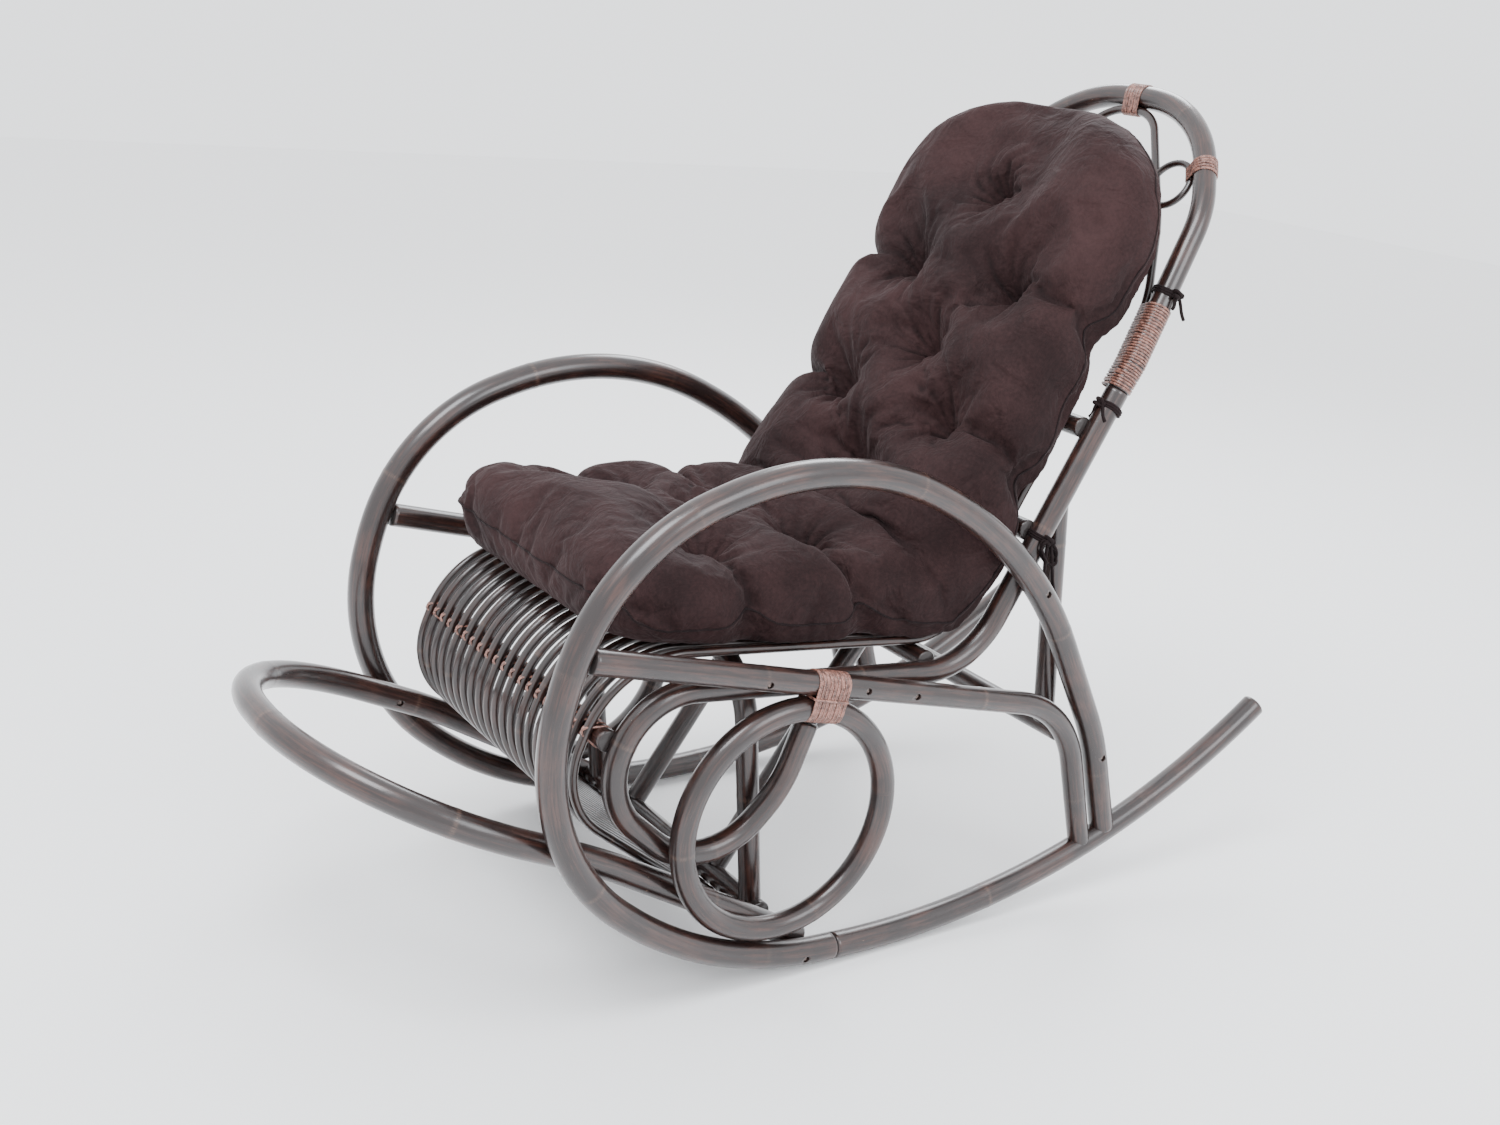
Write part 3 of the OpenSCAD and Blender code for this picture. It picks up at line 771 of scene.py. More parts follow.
    def _strut_and_post(self, side: Side, material: bpy.types.Material) -> None:
        """Build the strut and the rear post of one side."""
        low, high = np.array(LOW_BAR), np.array(SEAT_BAR)
        inset = unit(high - low) * 9
        strut = np.array([low + inset, high - inset])
        self._add(f"strut_{side.word}", in_side(resample(strut, STEP), side.value * self.strut_x), POST_D, material)
        post = np.array([[side.value * self.post_x, REAR_BAR[0] + MIDDLE_Y, z] for z in self.post_z])
        self._add(f"rear_post_{side.word}", resample(post, STEP), POST_D, material)

    def _hoop(self, material: bpy.types.Material) -> None:
        """Build the hoop that stands on the low cross bar."""
        points = rounded(mirrored(self.hoop))
        line = np.column_stack([points[:, 0], np.full(len(points), LOW_BAR[0] + MIDDLE_Y), points[:, 1]])
        self._add("front_hoop", line, POST_D, material)


def on_back(length: float, lift: float) -> tuple[float, float]:
    """A point along the back, lifted to the cushion side.

    Args:
        length: Distance up the back from its corner.
        lift: Distance from the back pole's centre line.

    Returns:
        Its y (before centring) and z.
    """
    up = unit(np.array(SPLICE) - CORNER)
    at = CORNER + up * length + np.array([-up[1], up[0]]) * lift
    return float(at[0]), float(at[1])


def bend_centre(corners: Sequence[Sequence[float]], radius: float) -> np.ndarray:
    """Centre of the bend that rounds the middle one of three corners.

    Args:
        corners: The three corners.
        radius: The bend's radius.

    Returns:
        The centre, in the corners' plane.
    """
    a, b, c = (np.array(corner, float) for corner in corners)
    into, away = unit(b - a), unit(c - b)
    turn = math.acos(float(into @ away))
    return b + unit(away - into) * radius / math.cos(turn / 2)


def roll_bar_at() -> tuple[float, float]:
    """The roll bar's y (before centring) and z."""
    centre = bend_centre((CORNER, ROLL_TOP, ROLL_FRONT), ROLL_R)
    at = centre + (ROLL_R + BAR_LIFT) * np.array([math.cos(ROLL_BAR_ANGLE), math.sin(ROLL_BAR_ANGLE)])
    return float(at[0]), float(at[1])


def small_ring_at() -> np.ndarray:
    """Centre of the left small ring in the arch's plane."""
    centre = bend_centre((ARCH_SHOULDER, ARCH_TOP, (-ARCH_TOP[0], ARCH_TOP[1])), ARCH_R)
    return centre + small_ring_reach() * np.array([math.cos(SMALL_ANGLE), math.sin(SMALL_ANGLE)])


def small_ring_reach() -> float:
    """Distance of a small ring's centre from that of the arch's bend."""
    return ARCH_R - POLE_D / 2 - RING_CANE_D / 2 - SMALL_R - LAY_GAP


# ---------------------------------------------------------------- repeated pieces


class Repeat:
    """A Geometry Nodes tree that puts one part on marked points, and the plain mesh that comes of it."""

    def __init__(self, name: str, part: bpy.types.Mesh, material: bpy.types.Material, jitter: float = 0.0,
                 seed: int = 7) -> None:
        """Prepare to repeat a part.

        Args:
            name: The finished piece's name.
            part: The mesh that is repeated, its own Z along each mark's "way" and its Y along its "toward".
            material: The finish.
            jitter: Largest random turn about the way, in radians.
            seed: The fixed seed of the turns.
        """
        self.name = name
        self.part = bpy.data.objects.new(name + "_part", part)
        self.material = material
        self.jitter = jitter
        self.seed = seed

    def on(self, places: np.ndarray, ways: np.ndarray, towards: np.ndarray) -> bpy.types.Object:
        """Repeat the part.

        Args:
            places: Points (n, 3) in millimetres.
            ways: The part's Z at each point.
            towards: The part's Y at each point.

        Returns:
            The piece as a plain mesh.
        """
        marks = bpy.data.meshes.new(self.name + "_marks")
        marks.from_pydata([tuple(np.asarray(p) * MM) for p in places], [], [])
        store(marks, "way", "FLOAT_VECTOR", ways)
        store(marks, "toward", "FLOAT_VECTOR", towards)
        carrier = bpy.data.objects.new(self.name + "_marks", marks)
        bpy.context.scene.collection.objects.link(carrier)
        bpy.context.scene.collection.objects.link(self.part)
        tree, sockets = self._tree()
        modifier = carrier.modifiers.new("repeat", "NODES")
        modifier.node_group = tree
        for name, value in (("Part", self.part), ("Jitter", self.jitter), ("Seed", self.seed)):
            modifier[sockets[name]] = value
        graph = bpy.context.evaluated_depsgraph_get()
        mesh = bpy.data.meshes.new_from_object(carrier.evaluated_get(graph))
        carrier.modifiers.remove(modifier)
        bpy.data.objects.remove(carrier)
        bpy.data.objects.remove(self.part)
        return as_object(self.name, mesh, self.material)

    def _tree(self) -> tuple[bpy.types.NodeTree, dict[str, str]]:
        """Build the node tree.

        Returns:
            The tree, and each input's identifier by name.
        """
        tree = bpy.data.node_groups.new(self.name + "_repeat", "GeometryNodeTree")
        face = tree.interface
        face.new_socket("Geometry", in_out="INPUT", socket_type="NodeSocketGeometry")
        made = {
            "Part": face.new_socket("Part", in_out="INPUT", socket_type="NodeSocketObject"),
            "Jitter": face.new_socket("Jitter", in_out="INPUT", socket_type="NodeSocketFloat"),
            "Seed": face.new_socket("Seed", in_out="INPUT", socket_type="NodeSocketInt"),
        }
        face.new_socket("Geometry", in_out="OUTPUT", socket_type="NodeSocketGeometry")
        nodes, link = tree.nodes, tree.links.new
        into, out = nodes.new("NodeGroupInput"), nodes.new("NodeGroupOutput")
        points = nodes.new("GeometryNodeMeshToPoints")
        spread = nodes.new("GeometryNodeInstanceOnPoints")
        info = nodes.new("GeometryNodeObjectInfo")
        axes = nodes.new("FunctionNodeAxesToRotation")
        axes.primary_axis = "Z"
        axes.secondary_axis = "Y"
        reads = []
        for name in ("way", "toward"):
            read = nodes.new("GeometryNodeInputNamedAttribute")
            read.data_type = "FLOAT_VECTOR"
            read.inputs["Name"].default_value = name
            reads.append(read.outputs["Attribute"])
        chance = nodes.new("FunctionNodeRandomValue")
        chance.data_type = "FLOAT_VECTOR"
        low = nodes.new("ShaderNodeCombineXYZ")
        high = nodes.new("ShaderNodeCombineXYZ")
        minus = nodes.new("ShaderNodeMath")
        minus.operation = "MULTIPLY"
        minus.inputs[1].default_value = -1.0
        turn = nodes.new("GeometryNodeRotateInstances")
        euler = nodes.new("FunctionNodeEulerToRotation")
        real = nodes.new("GeometryNodeRealizeInstances")
        dress = nodes.new("GeometryNodeSetMaterial")
        dress.inputs["Material"].default_value = self.material
        link(into.outputs["Geometry"], points.inputs["Mesh"])
        link(points.outputs["Points"], spread.inputs["Points"])
        link(into.outputs["Part"], info.inputs["Object"])
        link(info.outputs["Geometry"], spread.inputs["Instance"])
        link(reads[0], axes.inputs["Primary Axis"])
        link(reads[1], axes.inputs["Secondary Axis"])
        link(axes.outputs["Rotation"], spread.inputs["Rotation"])
        link(into.outputs["Jitter"], minus.inputs[0])
        for axis in ("X", "Y"):
            link(minus.outputs[0], low.inputs[axis])
            link(into.outputs["Jitter"], high.inputs[axis])
        link(low.outputs[0], chance.inputs[0])
        link(high.outputs[0], chance.inputs[1])
        link(into.outputs["Seed"], chance.inputs["Seed"])
        link(chance.outputs[0], euler.inputs[0])
        link(spread.outputs["Instances"], turn.inputs["Instances"])
        link(euler.outputs[0], turn.inputs["Rotation"])
        link(turn.outputs["Instances"], real.inputs["Geometry"])
        link(real.outputs["Geometry"], dress.inputs["Geometry"])
        link(dress.outputs["Geometry"], out.inputs["Geometry"])
        return tree, {name: socket.identifier for name, socket in made.items()}


@dataclass(frozen=True)
class Turn:
    """One turn of flat core round a pole and, if there is one, its neighbour.

    Attributes:
        near: Radius that it lies on at the pole.
        far: Radius that it lies on at the neighbour.
        apart: Distance between the two, along Y.
        width: Width of the core.
        strands: How many strands lie side by side in the width.
        thick: Thickness of the core.
    """

    near: float
    far: float
    apart: float
    width: float
    strands: int = 2
    thick: float = 1.4

    def mesh(self, name: str) -> bpy.types.Mesh:
        """Build the turn about the Z axis.

        Args:
            name: The mesh's name.

        Returns:
            A closed loop of low half-round strands.
        """
        outline = self._outline()
        count = len(outline)
        ahead = np.roll(outline, -1, 0) - np.roll(outline, 1, 0)
        normals = np.column_stack([ahead[:, 1], -ahead[:, 0]])
        normals /= np.linalg.norm(normals, axis=1)[:, None]
        section = self._section()
        verts, faces = [], []
        for i in range(count):
            for z, lift in section:
                p = outline[i] + normals[i] * lift
                verts.append((p[0] * MM, p[1] * MM, z * MM))
        n = len(section)
        for i in range(count):
            for k in range(n):
                a, b = i * n + k, i * n + (k + 1) % n
                c, d = ((i + 1) % count) * n + (k + 1) % n, ((i + 1) % count) * n + k
                faces.append((a, b, c, d))
        mesh = bpy.data.meshes.new(name)
        mesh.from_pydata(verts, [], faces)
        outward(mesh)
        return mesh

    def _outline(self) -> np.ndarray:
        """The inner outline, anticlockwise, (n, 2)."""
        if self.apart <= 0:
            a = np.linspace(0, 2 * math.pi, 33)[:-1]
            return self.near * np.column_stack([np.cos(a), np.sin(a)])
        tilt = math.asin((self.near - self.far) / self.apart)
        low = np.linspace(math.pi - tilt, 2 * math.pi + tilt, 18)
        high = np.linspace(tilt, math.pi - tilt, 10)
        return np.vstack([self.near * np.column_stack([np.cos(low), np.sin(low)]),
                          np.column_stack([self.far * np.cos(high), self.apart + self.far * np.sin(high)])])

    def _section(self) -> list[tuple[float, float]]:
        """The core's section as (along the pole, off the surface), as many low humps as strands."""
        one = self.width / self.strands
        top = []
        for s in range(self.strands):
            left = -self.width / 2 + s * one
            top += [(left + one * share, self.thick * height)
                    for share, height in ((0.08, 0.2), (0.3, 0.95), (0.7, 0.95), (0.92, 0.2))]
        return [(-self.width / 2, 0.0)] + top + [(self.width / 2, 0.0)]


@dataclass
class Lashings:
    """All the core lashings of the frame.

    Attributes:
        lay: Radius that a turn lies on round a pole.
        ring_turns: Turns round a side ring and its rail.
        ring_pitch: Distance between those turns.
        splice_turns: Turns over a splice.
        splice_pitch: Distance between those turns.
        splice_from: Where the first of them lies, along the arch's leg.
        top_turns: Turns at the top of the arch.
        top_pitch: Distance between those turns.
        small_turns: Turns at a small ring.
        small_pitch: Distance between those turns.
        band_out: How far the cross band stands off the side frame's middle.
        band_d: Thickness of the cross band.
        band_len: Length of the cross band.
        tie_slant: Slant of each loop of a crossed tie.
    """

    lay: float = 15.3
    ring_turns: int = 9
    ring_pitch: float = 5.4
    splice_turns: int = 30
    splice_pitch: float = 3.85
    splice_from: float = -34.5
    top_turns: int = 6
    top_pitch: float = 4.9
    small_turns: int = 5
    small_pitch: float = 4.3
    band_out: float = 17.6
    band_d: float = 3.0
    band_len: float = 49.0
    tie_slant: float = math.radians(24)

    def build(self, finishes: Finishes) -> None:
        """Build every lashing and hand it over.

        Args:
            finishes: The finishes.
        """
        for side in Side:
            self._side_ring(side, finishes)
            self._splice(side, finishes)
        self._arch_top(finishes)
        self._small_rings(finishes)
        self._roll(finishes)

    def _side_ring(self, side: Side, finishes: Finishes) -> None:
        """Bind a side ring to its rail, with a cross band between the two."""
        rail, ring = np.array(RAIL_FRONT), np.array(RING_AT)
        way = unit(np.array(RAIL_KNEE) - rail)
        foot = rail + way * float((ring - rail) @ way)
        down = unit(ring - foot)
        drop = float(np.linalg.norm(ring - foot)) - RING_R - LAY_GAP
        offs = (np.arange(self.ring_turns) - (self.ring_turns - 1) / 2) * self.ring_pitch
        places = [(side.value * SIDE_X, *(foot + way * o + [MIDDLE_Y, 0])) for o in offs]
        turn = Turn(self.lay, 15.8, drop, 4.7, 2, 1.7)
        piece = Repeat(f"ring_lashing_{side.word}_core", turn.mesh("ring_turn"), finishes.core, 0.02, 3).on(
            np.array(places), np.tile([0, *way], (self.ring_turns, 1)), np.tile([0, *down], (self.ring_turns, 1)))
        waist = self._band(side, foot + down * drop / 2, way, finishes.core)
        join(piece, [waist])
        settle(piece, Finish.CORE, f"ring_lashing_{side.word}")

    def _band(self, side: Side, at: np.ndarray, way: np.ndarray,
              material: bpy.types.Material) -> bpy.types.Object:
        """A cross band that nips the turns between ring and rail."""
        half, across = self.band_len / 2, self.band_out
        loop = []
        for x, y in ((across, -half), (across, half), (-across, half), (-across, -half)):
            spot = at + way * y
            loop.append((side.value * SIDE_X + x, spot[0] + MIDDLE_Y, spot[1]))
        loop.append(loop[0])
        line = resample(np.array(loop), 4.0)
        line[-1] = line[0]
        return Pole(f"waist_{side.word}", line, self.band_d, 2, True, 8).build(material)

    def _splice(self, side: Side, finishes: Finishes) -> None:
        """Bind the splice of a seat pole, the arch and the inner arch's leg."""
        places, ways, towards = [], [], []
        origin = in_arch(np.zeros((1, 2)))[0]
        for i in range(self.splice_turns):
            v = self.splice_from + i * self.splice_pitch
            slope = ARCH_TAPER if v > 0 else 0.0
            places.append((side.value * (SEAT_X - max(0.0, v) * math.tan(slope)), v))
            ways.append((-side.value * math.sin(slope), math.cos(slope)))
            towards.append((-side.value * math.cos(slope), -math.sin(slope)))
        turn = Turn(self.lay, 6.0, 20.9, 3.2, 1, 1.7)
        piece = Repeat(f"splice_lashing_{side.word}_core", turn.mesh("splice_turn"), finishes.core, 0.03, 5).on(
            in_arch(np.array(places)), in_arch(np.array(ways)) - origin, in_arch(np.array(towards)) - origin)
        settle(piece, Finish.CORE, f"splice_lashing_{side.word}")

    def _arch_top(self, finishes: Finishes) -> None:
        """Bind the inner arch to the arch at the top."""
        count = self.top_turns
        offs = (np.arange(count) - (count - 1) / 2) * self.top_pitch
        places = np.column_stack([offs, np.full(count, ARCH_TOP[1])])
        down = in_arch(np.array([[0.0, -1.0]]))[0] - in_arch(np.array([[0.0, 0.0]]))[0]
        turn = Turn(self.lay, 5.9, 20.7, 4.2, 2, 1.6)
        piece = Repeat("arch_top_lashing_core", turn.mesh("top_turn"), finishes.core, 0.03, 9).on(
            in_arch(places), np.tile([1.0, 0, 0], (count, 1)), np.tile(down, (count, 1)))
        settle(piece, Finish.CORE, "arch_top_lashing")

    def _small_rings(self, finishes: Finishes) -> None:
        """Bind both small rings to the arch."""
        centre = small_ring_at() - small_ring_reach() * np.array([math.cos(SMALL_ANGLE), math.sin(SMALL_ANGLE)])
        places, ways, towards = [], [], []
        for s in (1, -1):
            for i in range(self.small_turns):
                a = SMALL_ANGLE + (i - (self.small_turns - 1) / 2) * self.small_pitch / ARCH_R
                places.append((s * (centre[0] + ARCH_R * math.cos(a)), centre[1] + ARCH_R * math.sin(a)))
                ways.append((-s * math.sin(a), math.cos(a)))
                towards.append((-s * math.cos(a), -math.sin(a)))
        origin = in_arch(np.zeros((1, 2)))[0]
        turn = Turn(self.lay, 5.0, 20.6, 3.6, 2, 1.6)
        piece = Repeat("small_ring_lashings_core", turn.mesh("small_turn"), finishes.core, 0.04, 11).on(
            in_arch(np.array(places)), in_arch(np.array(ways)) - origin, in_arch(np.array(towards)) - origin)
        settle(piece, Finish.CORE, "small_ring_lashings")

    def _roll(self, finishes: Finishes) -> None:
        """Tie each cane to the roll bar with two crossed loops."""
        bar = roll_bar_at()
        out = (math.cos(ROLL_BAR_ANGLE), math.sin(ROLL_BAR_ANGLE))
        work = bmesh.new()
        for slant in (-1, 1):
            loop = Turn(13.6, 6.3, 18.6, 3.2, 1, 1.5).mesh("tie_turn")
            loop.transform(Matrix.Rotation(slant * self.tie_slant, 4, "Y"))
            work.from_mesh(loop)
        cross = bpy.data.meshes.new("cross_tie")
        work.to_mesh(cross)
        work.free()
        places = np.column_stack([cane_x(), np.full(CANES, bar[0] + MIDDLE_Y), np.full(CANES, bar[1])])
        piece = Repeat("roll_lashings_core", cross, finishes.core, 0.06, 13).on(
            places, np.tile([1.0, 0, 0], (CANES, 1)), np.tile([0, *out], (CANES, 1)))
        settle(piece, Finish.CORE, "roll_lashings")


def join(piece: bpy.types.Object, others: Sequence[bpy.types.Object]) -> None:
    """Merge other objects' meshes into a piece's mesh.

    Args:
        piece: The piece that stays.
        others: The objects that are merged and removed.
    """
    work = bmesh.new()
    work.from_mesh(piece.data)
    for other in others:
        work.from_mesh(other.data)
        bpy.data.objects.remove(other)
    work.to_mesh(piece.data)
    work.free()
    for polygon in piece.data.polygons:
        polygon.use_smooth = True
        polygon.material_index = 0


def cane_x() -> np.ndarray:
    """Where the canes lie across the chair."""
    return -CANE_SPAN / 2 + np.arange(CANES) * CANE_SPAN / (CANES - 1)


@dataclass
class SeatCanes:
    """The canes that run down the back, over the seat and round the roll.

    Attributes:
        chain: Corners of the seat pole's line that the canes follow.
        lift: Height of a cane over the seat poles, centre to centre.
        toe: Where a cane ends.
        front_bend: Bend radius under the roll.
    """

    chain: Chain = ((351, 640, 0), (145, 345, 117), (*ROLL_TOP, ROLL_R), (*ROLL_FRONT, ROLL_R), (-253, 176, 0))
    lift: float = BAR_LIFT + BAR_D / 2 + CANE_D / 2
    toe: tuple[float, float] = (-167.0, 65.0)
    front_bend: float = 95.0

    def line(self) -> np.ndarray:
        """Centre line of a cane, (n, 2)."""
        corners = [np.array(c[:2], float) for c in self.chain]
        moved: list[tuple[float, float, float]] = []
        for i in range(4):
            after = unit(corners[i + 1] - corners[i])
            a = np.array([after[1], -after[0]])
            if i == 0:
                moved.append((*(corners[0] + a * self.lift), 0.0))
                continue
            before = unit(corners[i] - corners[i - 1])
            b = np.array([before[1], -before[0]])
            corner = corners[i] + (a + b) * self.lift / (1 + float(a @ b))
            sign = math.copysign(1.0, before[0] * after[1] - before[1] * after[0])
            moved.append((*corner, self.chain[i][2] + self.lift * sign))
        moved[3] = (moved[3][0], moved[3][1], self.front_bend)
        return rounded([*moved, (*self.toe, 0.0)], 6.0)

    def build(self, finishes: Finishes) -> None:
        """Build the canes and hand them over.

        Args:
            finishes: The finishes.
        """
        line = self.line()
        made = [Pole(f"cane_{i}", in_side(line, x), CANE_D, 41 + i, False, 10, 230.0).build(finishes.cane)
                for i, x in enumerate(cane_x())]
        piece = made[0]
        piece.name = "seat_canes_rattan"
        join(piece, made[1:])
        settle(piece, Finish.CANE, "seat_canes")


@dataclass(frozen=True)
class Spot:
    """Where a screw goes in.

    Attributes:
        node: The pole that it starts in.
        at: Its place on the pole's outer face, y before centring.
        way: Which way it points along X.
    """

    node: str
    at: tuple[float, float, float]
    way: float

    def moved(self, deep: float) -> tuple[float, float, float]:
        """A point in the chair's frame at a depth along the screw."""
        x, y, z = self.at
        return x + self.way * deep, y + MIDDLE_Y, z


@dataclass
class Screws:
    """Round-headed wood screws in their counterbores.

    Attributes:
        rail: Screws in a seat rail, as (y, z).
        arm: Screws in an arm loop.
        limb: The screw in a limb of the front rocker.
        bore_r: Radius of a counterbore.
        bore_deep: Depth of a counterbore.
        sunk: How deep the top of a head lies.
        spokes: Faces round a screw.
    """

    rail: Sequence[tuple[float, float]] = ((-44, 385), (-182, 431), (30, 357))
    arm: Sequence[tuple[float, float]] = ((232, 443), (-135, 43), (352, 175))
    limb: tuple[float, float] = (-431, 273)
    bore_r: float = 4.1
    bore_deep: float = 7.0
    sunk: float = 3.0
    spokes: int = 16

    def places(self) -> list[Spot]:
        """Every screw's place."""
        out = []
        for side in Side:
            s = float(side.value)
            out += [Spot(f"seat_rail_{side.word}", (s * (SIDE_X + POLE_D / 2), y, z), -s) for y, z in self.rail]
            out += [Spot(f"arm_loop_{side.word}", (s * (SIDE_X + FRAME_D / 2), y, z), -s) for y, z in self.arm]
            out.append(Spot("front_rocker", (s * (INNER_X - FRAME_D / 2), *self.limb), s))
        return out

    def drill(self, poles: PoleFrame) -> None:
        """Cut the counterbores into the poles' meshes.

        Args:
            poles: The built poles.
        """
        for made in poles.made:
            spots = [spot for spot in self.places() if spot.node == made.node]
            if spots:
                self._cut(made.piece, spots)

    def _cut(self, piece: bpy.types.Object, spots: Sequence[Spot]) -> None:
        """Cut round pockets into one pole."""
        work = bmesh.new()
        for spot in spots:
            turn = Matrix.Translation(Vector(spot.moved(0.0)) * MM) @ Matrix.Rotation(math.pi / 2, 4, "Y")
            bmesh.ops.create_cone(work, cap_ends=True, segments=24, radius1=self.bore_r * MM,
                                  radius2=self.bore_r * MM, depth=2 * self.bore_deep * MM, matrix=turn)
        mesh = bpy.data.meshes.new("drill")
        work.to_mesh(mesh)
        work.free()
        store(mesh, "cut", "FLOAT", [1.0] * len(mesh.vertices))
        mesh.materials.append(piece.data.materials[0])
        drill = bpy.data.objects.new("drill", mesh)
        bpy.context.scene.collection.objects.link(drill)
        modifier = piece.modifiers.new("bore", "BOOLEAN")
        modifier.operation = "DIFFERENCE"
        modifier.object = drill
        modifier.solver = "EXACT"
        graph = bpy.context.evaluated_depsgraph_get()
        cut = bpy.data.meshes.new_from_object(piece.evaluated_get(graph))
        piece.modifiers.remove(modifier)
        bpy.data.objects.remove(drill)
        if len(cut.polygons) > len(piece.data.polygons):
            piece.data = cut

    def build(self, finishes: Finishes) -> None:
        """Build every screw and hand them over.

        Args:
            finishes: The finishes.
        """
        spots = self.places()
        places = np.array([spot.moved(self.sunk) for spot in spots])
        ways = np.array([(-spot.way, 0.0, 0.0) for spot in spots])
        towards = np.array([(0.0, math.cos(1.1 * i), math.sin(1.1 * i)) for i in range(len(spots))])
        piece = Repeat("frame_screws_steel", self._mesh(), finishes.steel, 0.0, 1).on(places, ways, towards)
        settle(piece, Finish.STEEL, "frame_screws")

    def _mesh(self) -> bpy.types.Mesh:
        """A domed head with a cross recess, and its shank below."""
        tip = -41.0
        profile = [(1.6, -38.0), (2.0, -36.0), (2.0, -2.6), (3.7, -2.4), (3.7, -1.4), (3.2, -0.6), (2.2, -0.2),
                   (1.1, -0.05)]
        spokes = self.spokes
        verts, faces = [], []
        for r, z in profile:
            for k in range(spokes):
                a = 2 * math.pi * k / spokes
                dip = 1.1 if r < 2.5 and z > -0.5 and k % 4 == 0 else 0.0
                verts.append((r * math.cos(a) * MM, r * math.sin(a) * MM, (z - dip) * MM))
        rows = len(profile)
        for i in range(rows - 1):
            for k in range(spokes):
                j = (k + 1) % spokes
                faces.append((i * spokes + k, i * spokes + j, (i + 1) * spokes + j, (i + 1) * spokes + k))
        verts += [(0, 0, tip * MM), (0, 0, -1.2 * MM)]
        for k in range(spokes):
            j = (k + 1) % spokes
            faces.append((j, k, len(verts) - 2))
            faces.append(((rows - 1) * spokes + k, (rows - 1) * spokes + j, len(verts) - 1))
        mesh = bpy.data.meshes.new("screw")
        mesh.from_pydata(verts, [], faces)
        outward(mesh)
        return mesh


# ---------------------------------------------------------------- cushion and its ties


@dataclass(frozen=True)
class Filling:
    """How the cover is blown up as cloth.

    Attributes:
        voxel: Edge of the cover's even faces, in metres.
        pressure: Inner pressure.
        frames: How many frames are simulated.
        hold: Radius that is held round a tuft, in metres.
        cap: Furthest that a point may move, in metres.
    """

    voxel: float = 0.0062
    pressure: float = 4.0
    frames: int = 20
    hold: float = 0.024
    cap: float = 0.016


